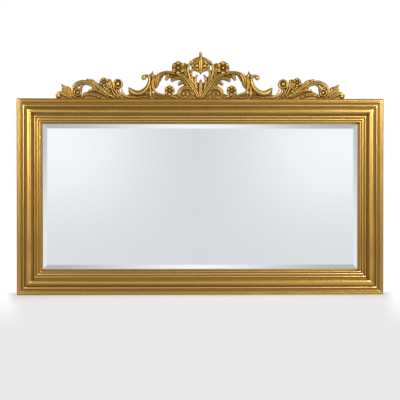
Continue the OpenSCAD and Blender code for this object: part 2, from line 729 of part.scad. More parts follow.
// A turn button on its screw at [x, z], pointing the given way round from straight up
module turn_button(place, turn) {
    reach = button_l - button_w;
    color(STEEL)
        translate([place[0], back_y + button_gap, place[1]]) rotate([0, turn, 0])
            difference() {
                union() {
                    translate([-button_w / 2, 0, 0]) cube([button_w, button_t, reach]);
                    for (z = [0, reach])
                        translate([0, 0, z]) rotate([-90, 0, 0])
                            cylinder(button_t, button_w / 2, button_w / 2);
                }
                translate([0, -past, 0]) rotate([-90, 0, 0])
                    cylinder(button_t + 2 * past, screw_r + pivot_gap, screw_r + pivot_gap);
            }
}

module turn_button_bottom_left() { turn_button(button_screws_along()[0], 0); }
module turn_button_bottom_middle() { turn_button(button_screws_along()[1], 0); }
module turn_button_bottom_right() { turn_button(button_screws_along()[2], 0); }
module turn_button_top_left() { turn_button(flipped(button_screws_along())[0], 180); }
module turn_button_top_middle() { turn_button(flipped(button_screws_along())[1], 180); }
module turn_button_top_right() { turn_button(flipped(button_screws_along())[2], 180); }
module turn_button_right() { turn_button(button_screw_side()[0], -90); }
module turn_button_left() { turn_button(other_side(button_screw_side())[0], 90); }

module turn_button_screws() {
    along = button_screws_along();
    side = button_screw_side();
    color(STEEL) screws(concat(along, flipped(along), side, other_side(side)), button_rise, screw_l);
}

// Hangers
module hanger_strap_right() {
    loop_r = wire_rise - seam_gap;
    color(STEEL)
        difference() {
            union() {
                translate([hanger_x - strap_w / 2, back_y, hanger_z - strap_l])
                    cube([strap_w, strap_t, strap_l]);
                translate([hanger_x - strap_w / 2, back_y + wire_rise, hanger_z])
                    rotate([0, 90, 0]) cylinder(strap_w, loop_r, loop_r);
            }
            translate([hanger_x - strap_w, back_y + wire_rise, hanger_z])
                rotate([0, 90, 0]) cylinder(2 * strap_w, wire_r + wire_gap, wire_r + wire_gap);
            for (h = strap_holes) plate_hole(hanger_x, hanger_z - h);
        }
}

module hanger_strap_left() {
    mirror([1, 0, 0]) hanger_strap_right();
}

module d_ring_right() {
    straight = ring_r - ring_corner_r;
    color(STEEL)
        translate([hanger_x, back_y + wire_rise, hanger_z]) {
            translate([-straight, 0, 0]) rotate([0, 90, 0]) cylinder(2 * straight, wire_r, wire_r);
            for (s = [0, 1])
                mirror([s, 0, 0]) translate([straight, 0, -ring_corner_r]) rotate([90, 0, 0])
                    rotate_extrude(angle = 90) translate([ring_corner_r, 0]) circle(wire_r);
            translate([0, 0, -ring_corner_r]) rotate([-90, 0, 0])
                rotate_extrude(angle = 180) translate([ring_r, 0]) circle(wire_r);
        }
}

module d_ring_left() {
    mirror([1, 0, 0]) d_ring_right();
}

module hanger_screws() {
    places = hanger_places();
    color(STEEL) screws(concat(places, other_side(places)), strap_t, screw_l);
}

module wall_bumpers() {
    color(FELT)
        four_corners()
            translate([bumper_in, back_y, bumper_in]) rotate([-90, 0, 0])
                cylinder(bumper_h, bumper_r, bumper_end_r);
}

// Crest
module crest_cuts() {
    dowels(carved_gap);
    into_back(mending_places(1), screw_r + carved_gap / 2, mending_screw_l + pilot_gap);
}

module centre_half() {
    layer(CENTRE_GROUND, ground_t);
    layer(STEM_GROUND, ground_t);
    layer(LOBE_GROUND, ground_t);
    layer(SHELL_GROUND, ground_t);
    fronds([INNER_STEM, OUTER_STEM, SECOND_LOBE, FIRST_LOBE, LOW_LEAF, INNER_SCROLL,
        SHELL_SHOULDER]);
    fronds([MIDRIB, STEM_LEAF, STEM_HUSK, ROSETTE_STEM, LEAF_BODY, CURL_LOBE, THIRD_LOBE, CROWN_SPIKE,
        LOWER_ROSETTE_STEM, SHELL_LOW, SHELL_SIDE], 1);
    balls(CENTRE_BALLS);
}

module crest_centre() {
    edge = centre_half_w * wide - joint_gap / 2;
    color(LEAF_GOLD)
        difference() {
            union() {
                both_sides() centre_half();
                fronds([BUD, SHELL_POINT], 1);
                balls([[0, drawn_h - finial_r / tall, finial_r, finial_d]]);
            }
            both_sides() {
                seat_cut(upper_rosette, upper_rosette_r + seat_gap);
                seat_cut(lower_rosette, lower_rosette_r + seat_gap);
                translate([edge, -through, top_z]) cube([through, 2 * through, 2 * through]);
            }
            below_crest();
            crest_cuts();
        }
}

// Everything lower than the frame's top
module below_crest() {
    translate([-frame_w / 2, -through, top_z - through]) cube([frame_w, 2 * through, through]);
}

module crest_scroll_right() {
    edge = centre_half_w * wide + joint_gap / 2;
    color(LEAF_GOLD)
        difference() {
            union() {
                layer(SCROLL_GROUND, ground_t);
                fronds([BIG_SCROLL, HOOK_LEAF]);
                fronds([SCROLL_LEAF, CROWN_LEAF, PILLAR], 1);
                balls(SCROLL_BALLS);
            }
            translate([edge - through, -through, top_z]) cube([through, 2 * through, 2 * through]);
            translate([scroll_out * wide - joint_gap / 2, -through, top_z])
                cube([through, 2 * through, 2 * through]);
            below_crest();
            crest_cuts();
        }
}

module crest_scroll_left() {
    mirror([1, 0, 0]) crest_scroll_right();
}

module crest_end_right() {
    edge = scroll_out * wide + joint_gap / 2;
    color(LEAF_GOLD)
        difference() {
            union() {
                layer(END_GROUND, ground_t);
                disc(VOLUTE_DISC, ground_t);
                disc(EYE_DISC, ground_t);
                fronds([VOLUTE, TOP_RIB, ARCH, LOWER_LEAF, END_CURL]);
                fronds([VOLUTE_STEM, SIDE_STEM, ROSETTE_LEAF, BLOSSOM_LEAF, NEXT_RIB, TEAR_RIB,
                    INNER_ARCH, GROUND_LEAF, END_LOBE, MIDDLE_LOBE, INSIDE_LOBE], 1);
                balls(END_BALLS);
            }
            seat_cut(end_rosette, end_rosette_r + seat_gap);
            translate([edge - through, -through, top_z])
                cube([through, 2 * through, volute_z * tall]);
            below_crest();
            crest_cuts();
        }
}

module crest_end_left() {
    mirror([1, 0, 0]) crest_end_right();
}

module petal_ball(r, b) {
    translate([0, -r * b[0], r * b[1]]) sphere(r * b[2], $fn = petal_fn);
}

module petal(r) {
    hull() {
        petal_ball(r, PETAL_NECK);
        petal_ball(r, PETAL_TIP);
    }
}

module flower_middle(r, b) {
    hull() {
        translate([0, -r * b[0], 0]) sphere(r * b[1], $fn = petal_fn);
        sphere(r * b[2], $fn = petal_fn);
    }
}

// A carved flower on the crest's seat
module rosette(place, r) {
    color(LEAF_GOLD)
        translate([place[0] * wide, back_y - seat_d, top_z + place[1] * tall])
            difference() {
                union() {
                    for (i = [0:petals - 1])
                        rotate([0, i * 360 / petals, 0]) petal(r);
                    flower_middle(r, FLOWER_RING);
                    flower_middle(r, FLOWER_BEAD);
                }
                translate([-r, 0, -r]) cube([2 * r, 2 * r, 2 * r]);
            }
}

module rosette_upper_right() { rosette(upper_rosette, upper_rosette_r); }
module rosette_lower_right() { rosette(lower_rosette, lower_rosette_r); }
module rosette_end_right() { rosette(end_rosette, end_rosette_r); }
module rosette_upper_left() { mirror([1, 0, 0]) rosette_upper_right(); }
module rosette_lower_left() { mirror([1, 0, 0]) rosette_lower_right(); }
module rosette_end_left() { mirror([1, 0, 0]) rosette_end_right(); }

module crest_dowels() {
    color(WOOD) dowels(0);
}

module crest_plates() {
    color(STEEL)
        for (x = mending_x, s = x == 0 ? [1] : [-1, 1])
            difference() {
                translate([s * x * wide - plate_w / 2, back_y, top_z - mending_l])
                    cube([plate_w, plate_t, 2 * mending_l]);
                for (up = [-1, 1], h = mending_holes) plate_hole(s * x * wide, top_z + up * h);
            }
}

module crest_plate_screws() {
    color(STEEL)
        screws(concat(mending_places(-1), mending_places(1)), plate_t, mending_screw_l);
}

top_rail();
bottom_rail();
left_stile();
right_stile();
top_slip();
bottom_slip();
left_slip();
right_slip();
mitre_splines();
corner_plates();
corner_plate_screws();
mirror_plate();
rebate_tape();
setting_blocks();
backboard();
turn_button_top_left();
turn_button_top_middle();
turn_button_top_right();
turn_button_bottom_left();
turn_button_bottom_middle();
turn_button_bottom_right();
turn_button_left();
turn_button_right();
turn_button_screws();
hanger_strap_left();
hanger_strap_right();
d_ring_left();
d_ring_right();
hanger_screws();
wall_bumpers();
crest_centre();
crest_scroll_left();
crest_scroll_right();
crest_end_left();
crest_end_right();
rosette_upper_left();
rosette_upper_right();
rosette_lower_left();
rosette_lower_right();
rosette_end_left();
rosette_end_right();
crest_dowels();
crest_plates();
crest_plate_screws();
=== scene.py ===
import math

import bpy
import numpy as np
from mathutils import Matrix, Vector


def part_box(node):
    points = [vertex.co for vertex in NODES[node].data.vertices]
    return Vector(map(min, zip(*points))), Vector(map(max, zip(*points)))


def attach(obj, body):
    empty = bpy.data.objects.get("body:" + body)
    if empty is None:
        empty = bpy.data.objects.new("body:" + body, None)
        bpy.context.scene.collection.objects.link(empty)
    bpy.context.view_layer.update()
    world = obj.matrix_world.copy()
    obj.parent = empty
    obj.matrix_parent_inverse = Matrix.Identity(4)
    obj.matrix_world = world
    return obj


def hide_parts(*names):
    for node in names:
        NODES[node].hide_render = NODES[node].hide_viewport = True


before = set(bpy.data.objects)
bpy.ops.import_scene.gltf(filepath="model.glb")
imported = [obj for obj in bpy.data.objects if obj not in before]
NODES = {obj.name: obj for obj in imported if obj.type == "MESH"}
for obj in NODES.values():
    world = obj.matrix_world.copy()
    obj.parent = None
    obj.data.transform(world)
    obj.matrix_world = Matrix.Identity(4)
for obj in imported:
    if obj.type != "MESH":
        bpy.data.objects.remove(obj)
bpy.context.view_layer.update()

# All sizes below are in millimetres, and "In" and "rise" mean what the part's own drawing means by them:
# the distance from the frame's outer edge, and the height in front of the frame's back.
MM = 0.001
BODY = "frame"

rail_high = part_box("top_rail")[1]
FRAME_W = 2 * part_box("right_stile")[1].x / MM
FRAME_H = rail_high.z / MM
BACK_Y = rail_high.y / MM
TOP_Z = FRAME_H

# Outer moulding
EDGE_D = 35
EDGE_R = 9
ARRIS_IN = 15
ARRIS_R = 2.5
ARRIS_D = 33.5
GROOVE_IN = 21.15
GROOVE_R = 4.25
BEAD_IN = 29.15
BEAD_R = 3.75
BEAD_D = 31.5
TORUS_IN = 53.4
TORUS_R = 18
TORUS_FALL_R = 10
MOULD_D = 49
FACE_W = 67.4
SUNK_D = 31
REBATE_IN = 93.4
SEAT_RISE = 9.615
CORNER_R = 5

# Inner slip
SLIP_FACE_D = 26
SLIP_BEAD = (73.2, 26.5, 3.6)
OVOLO_FACE_D = 24.5
OVOLO = (84.4, 23, 4.5)
SIGHT_D = 21.5
SIGHT_BEAD = (93.1, 21.5, 2.6)
SLOPE_TOP = (95.3, 20.5)
LIP_IN = 103.4
LIP_D = 12.515

ARC_STEP = math.radians(11)     # longest stretch of an arc that one edge spans
SLICE = 12                      # distance between the slices along a bar
EDGE_SOFTNESS = 0.45            # rounding of the gilded arrises
GESSO_WAVE = 0.22               # unevenness of the gesso under the leaf
WAVE_SIZE = 0.05                # and metres across one of its waves
OUTER_EDGE_SHADE = 0.26                # painted shade on the frame's outer edge, dimming its highlight
STILE_SHADE = 0.54                     # painted shade low on the stiles; height and spread of its darkest part
STILE_SHADE_Z = 190
STILE_SHADE_SPREAD = 150
EDGE_SHARE = 0.32               # share of it along the stiles' outer edge, and on the slips beside the glass
SLIP_SHARE = 0.45
RAIL_WEAR_AND_SHEEN = (0.6, 0.35, 0.35, 0.3)   # how far the crowns are paled, by wear and painted highlight: bottom, left, top, right
SLIP_WEAR_AND_SHEEN = (1.2, 0.05, 0.6, 0.05)
RECESS_ON_FLAT = -0.25              # the recess attribute on a flat face, and where the leaf is palest, by wear and painted highlight
RECESS_PALEST = -0.75
CORNER_LEANS = (15, 38)         # slopes, in degrees, of the cuts that round a corner
ARRIS_FROM = math.radians(32)   # least angle of an arris that is rounded
BOARD_SOFTNESS = 0.4
BOARD_ARRIS_FROM = math.radians(40)
FRAME_CREASE = math.radians(38)
CARVED_CREASE = math.radians(60)
FRONT_FROM = 0.5                # height from which a bar has glaze, and up to which it is bare timber
BARE_TO = 1.5
BACK_SLACK = 0.3                # how far a face may stand off a carving's back and be bare timber
BACKWARDS = 0.9                 # least turn to the back of a face that is bare timber


# ---------------------------------------------------------------- helpers
def set_mode(name):
    bpy.ops.object.mode_set(mode=name)


def deselect():
    bpy.ops.object.select_all(action="DESELECT")


def activate(piece):
    deselect()
    piece.select_set(True)
    bpy.context.view_layer.objects.active = piece


def apply_modifiers(piece):
    activate(piece)
    for modifier in list(piece.modifiers):
        bpy.ops.object.modifier_apply(modifier=modifier.name)


def add_modifier(piece, kind, **settings):
    modifier = piece.modifiers.new(kind.title(), kind)
    for key, value in settings.items():
        setattr(modifier, key, value)
    return modifier


def finish_piece(piece, name, materials, node):
    """Names and dresses a piece that takes the place of a CAD node."""
    piece.name = name
    piece.data.name = name
    piece.data.materials.clear()
    for material in materials:
        piece.data.materials.append(material)
    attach(piece, BODY)
    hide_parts(node)


def new_object(name, data):
    piece = bpy.data.objects.new(name, data)
    bpy.context.collection.objects.link(piece)
    return piece


def face_outwards(piece):
    activate(piece)
    set_mode("EDIT")
    bpy.ops.mesh.select_all(action="SELECT")
    bpy.ops.mesh.normals_make_consistent(inside=False)
    set_mode("OBJECT")


def read(items, name, width, kind=float):
    """One row of numbers for each vertex or edge."""
    values = np.empty(len(items) * width, kind)
    items.foreach_get(name, values)
    return values.reshape(-1, width)


def coordinates(mesh):
    return read(mesh.vertices, "co", 3)


def store(mesh, recess):
    """Keeps how deep each point lies in a hollow, or below 0 how proud it stands."""
    layer = mesh.attributes.get("recess") or mesh.attributes.new("recess", "FLOAT", "POINT")
    layer.data.foreach_set("value", np.asarray(recess, np.float32))


# ---------------------------------------------------------------- node helpers
class Nodes:
    """Short calls that add and link the nodes of one material."""

    def __init__(self, tree):
        self.tree = tree

    def give(self, sockets, values):
        """Sets each socket to its number, vector or colour, or links it."""
        for socket, value in zip(sockets, values):
            if isinstance(value, (int, float)):
                socket.default_value = value
            elif isinstance(value, tuple):
                socket.default_value = (*value, 1.0)[:len(socket.default_value)]
            else:
                self.tree.links.new(value, socket)

    def feed(self, node, **values):
        """Sets or links a node's inputs, with _ for a space in a name, and sets its other properties."""
        for key, value in values.items():
            name = key.replace("_", " ")
            if name in node.inputs:
                self.give([node.inputs[name]], [value])
            else:
                setattr(node, key, value)

    def add(self, kind, **values):
        node = self.tree.nodes.new(kind)
        self.feed(node, **values)
        return node

    def noise(self, vector, scale, detail, roughness, stretch=(1, 1, 1)):
        mapping = self.add("ShaderNodeMapping", Vector=vector, Scale=stretch)
        noise = self.add("ShaderNodeTexNoise", Vector=mapping.outputs["Vector"], Scale=scale, Detail=detail,
                         Roughness=roughness)
        return noise.outputs["Fac"]

    def remap(self, value, low, high, to_low=0.0, to_high=1.0, smooth=True):
        node = self.add("ShaderNodeMapRange", interpolation_type="SMOOTHSTEP" if smooth else "LINEAR",
                        Value=value, From_Min=low, From_Max=high, To_Min=to_low, To_Max=to_high)
        return node.outputs["Result"]

    def math(self, operation, *values):
        node = self.add("ShaderNodeMath", operation=operation)
        self.give(node.inputs, values)
        return node.outputs[0]

    def between(self, kind, *values):
        node = self.add("ShaderNodeMix", data_type=kind)
        self.give([s for s in node.inputs if s.enabled], values)
        return next(s for s in node.outputs if s.enabled)

    def mix(self, factor, a, b):
        """A colour between a and b."""
        return self.between("RGBA", factor, a, b)

    def blend(self, factor, a, b):
        """A plain number between a and b."""
        return self.between("FLOAT", factor, a, b)

    def bump(self, height, strength, distance, normal=None):
        node = self.add("ShaderNodeBump", Strength=strength, Distance=distance, Height=height)
        if normal is not None:
            self.feed(node, Normal=normal)
        return node.outputs["Normal"]

    def mix_shaders(self, factor, a, b):
        node = self.add("ShaderNodeMixShader")
        self.give(node.inputs, (factor, a, b))
        return node.outputs[0]


def new_material(name):
    material = bpy.data.materials.new(name)
    material.use_nodes = True
    nodes = Nodes(material.node_tree)
    shader = material.node_tree.nodes["Principled BSDF"]
    place = nodes.add("ShaderNodeTexCoord").outputs["Object"]
    return material, nodes, shader, place


# ---------------------------------------------------------------- materials
LEAF = (0.58, 0.335, 0.058)         # burnished gold leaf
LEAF_PALE = (0.80, 0.54, 0.16)      # high places paled by wear and painted highlight
LEAF_CARVED = (0.47, 0.27, 0.048)   # leaf on the carving
LEAF_OLIVE = (0.49, 0.30, 0.060)    # leaf over thin size
RECESS = (0.23, 0.112, 0.012)       # brown glaze in the quirks, deepened as painted shade
RECESS_DARK = (0.125, 0.057, 0.007) # darker glaze in the carving, deepened as painted shade
BOLE = (0.36, 0.135, 0.03)          # warm clay that shows through
ROUGH = (0.27, 0.36)                # least and most roughness of the leaf
ROUGH_CARVED = (0.40, 0.50)
WAX_ROUGH = 0.21                    # roughness of the wax coat


def gold(name, along=(1, 1, 1), hollow=(0.15, 0.75), leaf=LEAF, glaze_and_shade=RECESS, rough=ROUGH, wax=0.40,
         grain=1.0):
    """Gilding: patchy leaf, glaze and painted shade in the hollows, high places paled by wear and painted
    highlight, a wax coat and fine gesso grain.
    """
    material, nodes, shader, place = new_material(name)
    recess = nodes.add("ShaderNodeAttribute", attribute_name="recess").outputs["Fac"]
    patches = nodes.noise(place, 9, 4, 0.6, along)
    brushed = nodes.noise(place, 60, 3, 0.6, tuple(1 if a == 1 else 0.1 for a in along))
    thin, pale = (tuple(a * b / c for a, b, c in zip(leaf, tone, LEAF)) for tone in (LEAF_OLIVE, LEAF_PALE))
    colour = nodes.mix(nodes.remap(patches, 0.35, 0.65), thin, leaf)
    colour = nodes.mix(nodes.remap(brushed, 0.55, 0.75, 0, 0.45 * grain), colour, LEAF_PALE)
    # High places go pale by wear and painted highlight; hollows take glaze and painted shade.
    colour = nodes.mix(nodes.remap(recess, RECESS_ON_FLAT, RECESS_PALEST), colour, pale)
    clay = nodes.noise(place, 130, 4, 0.7)
    colour = nodes.mix(nodes.remap(clay, 0.62, 0.72, 0, 0.4 * grain), colour, BOLE)
    broken = nodes.math("MULTIPLY", nodes.noise(place, 120, 2, 0.5), 0.2)
    deep = nodes.remap(nodes.math("ADD", recess, nodes.math("SUBTRACT", broken, 0.1)), *hollow, 0, 0.92)
    leaf_rough = nodes.remap(patches, 0.3, 0.7, rough[1], rough[0])
    waves = nodes.bump(nodes.noise(place, 45, 3, 0.5), 0.35 * grain, 0.0008)
    fine = nodes.bump(nodes.noise(place, 420, 3, 0.6), 0.25 * grain, 0.0002, waves)
    nodes.feed(shader, Base_Color=nodes.mix(deep, colour, glaze_and_shade), Normal=fine, Coat_Weight=wax,
               Coat_Roughness=WAX_ROUGH, Roughness=nodes.blend(deep, leaf_rough, 0.6),
               Metallic=nodes.remap(deep, 0, 1, 1.0, 0.6, False))
    return material


def bare_wood(name, stretch):
    """Pale sawn timber with its grain drawn out along one axis."""
    material, nodes, shader, place = new_material(name)
    rings = nodes.noise(place, 14, 4, 0.55, stretch)
    fibres = nodes.noise(place, 260, 4, 0.6, stretch)
    colour = nodes.mix(nodes.remap(rings, 0.35, 0.65), (0.46, 0.30, 0.15), (0.60, 0.43, 0.25))
    colour = nodes.mix(nodes.remap(fibres, 0.5, 0.75, 0, 0.5), colour, (0.33, 0.20, 0.09))
    nodes.feed(shader, Base_Color=colour, Roughness=nodes.remap(fibres, 0.3, 0.7, 0.75, 0.6),
               Normal=nodes.bump(fibres, 0.4, 0.0004))
    return material


def hardboard():
    material, nodes, shader, place = new_material("hardboard")
    felted = nodes.noise(place, 220, 5, 0.7)
    clouds = nodes.noise(place, 5, 3, 0.5)
    colour = nodes.mix(nodes.remap(clouds, 0.35, 0.65), (0.25, 0.145, 0.07), (0.32, 0.19, 0.10))
    colour = nodes.mix(nodes.remap(felted, 0.5, 0.7, 0, 0.5), colour, (0.42, 0.28, 0.16))
    nodes.feed(shader, Base_Color=colour, Roughness=nodes.remap(felted, 0.3, 0.7, 0.7, 0.5),
               Normal=nodes.bump(felted, 0.3, 0.0003))
    return material


def zinc_steel():
    material, nodes, shader, place = new_material("zinc_steel")
    spangle = nodes.noise(place, 300, 4, 0.6)
    scuffs = nodes.noise(place, 60, 5, 0.7, (1, 1, 0.2))
    colour = nodes.mix(nodes.remap(spangle, 0.35, 0.65), (0.52, 0.53, 0.54), (0.70, 0.70, 0.69))
    nodes.feed(shader, Base_Color=colour, Metallic=1.0, Roughness=nodes.remap(scuffs, 0.35, 0.7, 0.28, 0.48),
               Normal=nodes.bump(scuffs, 0.15, 0.0001))
    return material


def foam():
    material, nodes, shader, place = new_material("dark_foam")
    cells = nodes.noise(place, 900, 3, 0.6)
    colour = nodes.mix(nodes.remap(cells, 0.4, 0.65), (0.012, 0.012, 0.013), (0.035, 0.034, 0.033))
    nodes.feed(shader, Base_Color=colour, Roughness=nodes.remap(cells, 0.3, 0.7, 0.95, 0.75),
               Normal=nodes.bump(cells, 0.5, 0.0003))
    return material


def silvered_glass():
    """Silvering seen through clear plate, a little uneven as old plate is."""
    material, nodes, shader, place = new_material("silvered_glass")
    haze = nodes.noise(place, 2.2, 2, 0.5)
    colour = nodes.mix(nodes.remap(haze, 0.3, 0.7), (0.93, 0.97, 0.99), (0.945, 0.98, 1.0))
    nodes.feed(shader, Base_Color=colour, Metallic=1.0, Roughness=0.015)
    return material


GOLD_ALONG = gold("gilding_along", along=(0.12, 1, 1))
GOLD_UP = gold("gilding_up", along=(1, 1, 0.12))
GOLD_CARVED = gold("gilding_carved", hollow=(-0.05, 0.5), leaf=LEAF_CARVED, glaze_and_shade=RECESS_DARK,
                   rough=ROUGH_CARVED, wax=0.2, grain=0.3)
WOOD_ALONG = bare_wood("bare_wood_along", (0.05, 1, 1))
WOOD_UP = bare_wood("bare_wood_up", (1, 1, 0.05))
HARDBOARD = hardboard()
STEEL = zinc_steel()
FOAM = foam()
SILVER = silvered_glass()


# ---------------------------------------------------------------- mouldings
def crossing(middle, radius, rise):
    """Half the width of a round section where it stands at the given height over its middle."""
    return math.sqrt(radius ** 2 - (rise - middle) ** 2)


def turned(centre, point):
    """Angle at which a point of the section lies, seen from an arc's centre."""
    return math.atan2(point[1] - centre[1], point[0] - centre[0])


class Outline:
    """A section drawn as by hand: one vertex, moved on by straight pulls and by spins."""

    def __init__(self, start, x):
        deselect()
        self.x = x * MM
        bpy.ops.mesh.primitive_plane_add(size=MM, location=self.world(start))
        set_mode("EDIT")
        bpy.ops.mesh.merge(type="CENTER")
        self.at = start

    def world(self, point):
        return Vector((self.x, (BACK_Y - point[1]) * MM, point[0] * MM))

    def line(self, *points):
        for point in points:
            move = self.world(point) - self.world(self.at)
            bpy.ops.mesh.extrude_region_move(TRANSFORM_OT_translate={"value": move})
            self.at = point
        return self

    def arc(self, centre, point, downwards=False):
        """Goes round the centre to the point, over the top or, for a hollow, through the bottom."""
        a, b = turned(centre, self.at), turned(centre, point)
        sweep = (b - a) % (2 * math.pi) if downwards else -((a - b) % (2 * math.pi))
        steps = max(2, math.ceil(abs(sweep) / ARC_STEP))
        # "In" runs along +Z and the rise along -Y, so a turn from in to rise is about +X; spin turns back
        bpy.ops.mesh.spin(steps=steps, angle=-sweep, center=self.world(centre), axis=(1, 0, 0))
        self.at = point
        return self

    def closed(self):
        bpy.ops.mesh.select_all(action="SELECT")
        bpy.ops.mesh.remove_doubles(threshold=0.01 * MM)
        bpy.ops.mesh.edge_face_add()
        set_mode("OBJECT")
        return bpy.context.view_layer.objects.active


def outer_outline(x):
    arris = (ARRIS_IN, ARRIS_D)
    groove = (GROOVE_IN, ARRIS_D)
    bead = (BEAD_IN, BEAD_D)
    torus, torus_fall = (TORUS_IN, MOULD_D - TORUS_R), (TORUS_IN, MOULD_D - TORUS_FALL_R)
    gap = GROOVE_IN - ARRIS_IN
    bite = (gap ** 2 + ARRIS_R ** 2 - GROOVE_R ** 2) / (2 * gap)
    meet = (ARRIS_IN + bite, ARRIS_D + math.sqrt(ARRIS_R ** 2 - bite ** 2))
    bead_half = crossing(BEAD_D, BEAD_R, SUNK_D)
    line = Outline((0, 0), x)
    line.line((0, EDGE_D - EDGE_R)).arc((EDGE_R, EDGE_D - EDGE_R), (EDGE_R, EDGE_D))
    line.line((EDGE_R, ARRIS_D), (ARRIS_IN - ARRIS_R, ARRIS_D)).arc(arris, meet)
    line.arc(groove, (GROOVE_IN + crossing(ARRIS_D, GROOVE_R, SUNK_D), SUNK_D), downwards=True)
    line.line((BEAD_IN - bead_half, SUNK_D)).arc(bead, (BEAD_IN + bead_half, SUNK_D))
    line.line((TORUS_IN - TORUS_R, SUNK_D)).arc(torus, (TORUS_IN, MOULD_D))
    line.arc(torus_fall, (TORUS_IN + TORUS_FALL_R, MOULD_D - TORUS_FALL_R))
    line.line((TORUS_IN + TORUS_FALL_R, SUNK_D), (FACE_W, SUNK_D), (FACE_W, SEAT_RISE),
              (REBATE_IN, SEAT_RISE), (REBATE_IN, 0), (0, 0))
    return line.closed()


def slip_outline(x):
    bead_in, bead_d, bead_r = SLIP_BEAD
    ovolo_in, ovolo_d, ovolo_r = OVOLO
    sight_in, sight_d, sight_r = SIGHT_BEAD
    run, fall = LIP_IN - SLOPE_TOP[0], LIP_D - SLOPE_TOP[1]
    from_in, from_d = SLOPE_TOP[0] - sight_in, SLOPE_TOP[1] - sight_d
    # Where the slope leaves the sight bead
    a, b = run ** 2 + fall ** 2, 2 * (from_in * run + from_d * fall)
    c = from_in ** 2 + from_d ** 2 - sight_r ** 2
    part = (-b + math.sqrt(b * b - 4 * a * c)) / (2 * a)
    leave = (SLOPE_TOP[0] + part * run, SLOPE_TOP[1] + part * fall)
    line = Outline((FACE_W, SEAT_RISE), x)
    line.line((FACE_W, SLIP_FACE_D), (bead_in - crossing(bead_d, bead_r, SLIP_FACE_D), SLIP_FACE_D))
    line.arc((bead_in, bead_d), (bead_in + crossing(bead_d, bead_r, OVOLO_FACE_D), OVOLO_FACE_D))
    line.line((ovolo_in - crossing(ovolo_d, ovolo_r, OVOLO_FACE_D), OVOLO_FACE_D))
    line.arc((ovolo_in, ovolo_d), (ovolo_in + crossing(ovolo_d, ovolo_r, SIGHT_D), SIGHT_D))
    line.line((sight_in - sight_r, SIGHT_D)).arc((sight_in, sight_d), leave)
    line.line((LIP_IN, LIP_D), (LIP_IN, SEAT_RISE), (FACE_W, SEAT_RISE))
    return line.closed()


def bisect(point, normal):
    bpy.ops.mesh.select_all(action="SELECT")
    bpy.ops.mesh.bisect(plane_co=[p * MM for p in point], plane_no=normal, use_fill=True, clear_outer=True)


def mitred_bar(outline, length):
    """A bar along X with its outer edge on z = 0: the section drawn out, sliced and mitred."""
    bar = outline(-length / 2)
    activate(bar)
    set_mode("EDIT")
    bpy.ops.mesh.select_all(action="SELECT")
    bpy.ops.mesh.extrude_region_move(TRANSFORM_OT_translate={"value": (length * MM, 0, 0)})
    for side in (-1, 1):
        end = side * length / 2
        bisect((end, 0, 0), (side, 0, 1))
        for lean in CORNER_LEANS:
            a = math.radians(lean)
            out, down = math.sin(a), math.cos(a)
            touch = (end - side * CORNER_R * (1 - out), 0, CORNER_R * (1 - down))
            bisect(touch, (side * out, 0, -down))
    bpy.ops.mesh.select_all(action="SELECT")
    bpy.ops.mesh.remove_doubles(threshold=0.005 * MM)
    bpy.ops.mesh.normals_make_consistent(inside=False)
    set_mode("OBJECT")
    bpy.ops.object.transform_apply(location=True, rotation=True, scale=True)
    add_modifier(bar, "BEVEL", width=EDGE_SOFTNESS * MM, segments=2, angle_limit=ARRIS_FROM,
                 limit_method="ANGLE", use_clamp_overlap=True)
    apply_modifiers(bar)
    slice_bar(bar, length)
    return bar


def slice_bar(bar, length):
    """Cuts across every edge that runs the length of the bar, so that its surface can wave."""
    for kind in (bar.data.vertices, bar.data.polygons):
        kind.foreach_set("select", [False] * len(kind))
    along = coordinates(bar.data)[:, 0]
    a, b = read(bar.data.edges, "vertices", 2, int).T
    bar.data.edges.foreach_set("select", np.abs(along[a] - along[b]) > length * MM / 2)
    picking = bpy.context.tool_settings
    picking.mesh_select_mode = (False, True, False)
    set_mode("EDIT")
    bpy.ops.mesh.subdivide(number_cuts=round(length / SLICE))
    set_mode("OBJECT")
    picking.mesh_select_mode = (True, False, False)


def hollows(outline_points, wear_and_sheen):
    """How deep each point of a section lies under the crowns beside it, or how proud it stands."""
    reach, deepest, shallow, proud_reach, proudest = 4.5, 5, 0.2, 6, 3
    ins, rises = outline_points[:, 0], outline_points[:, 1]
    crowns = np.array([rises[np.abs(ins - i) < reach].max() for i in ins])
    sides = [(rises[(ins > i - proud_reach) & (ins < i - proud_reach / 2)],
              rises[(ins < i + proud_reach) & (ins > i + proud_reach / 2)]) for i in ins]
    lower = np.array([max(a.min() if len(a) else 0, b.min() if len(b) else 0) for a, b in sides])
    # Hollows take glaze and painted shade; proud crowns are paled by wear and painted highlight, more on
    # some sides than others.
    deep = np.clip((crowns - rises) / deepest, 0, 1)
    worn_and_sheen = wear_and_sheen * np.clip((rises - lower) / proudest, 0, 1) * (deep < shallow) * (ins > GROOVE_IN)
    return deep - worn_and_sheen + OUTER_EDGE_SHADE * (ins < GROOVE_IN)


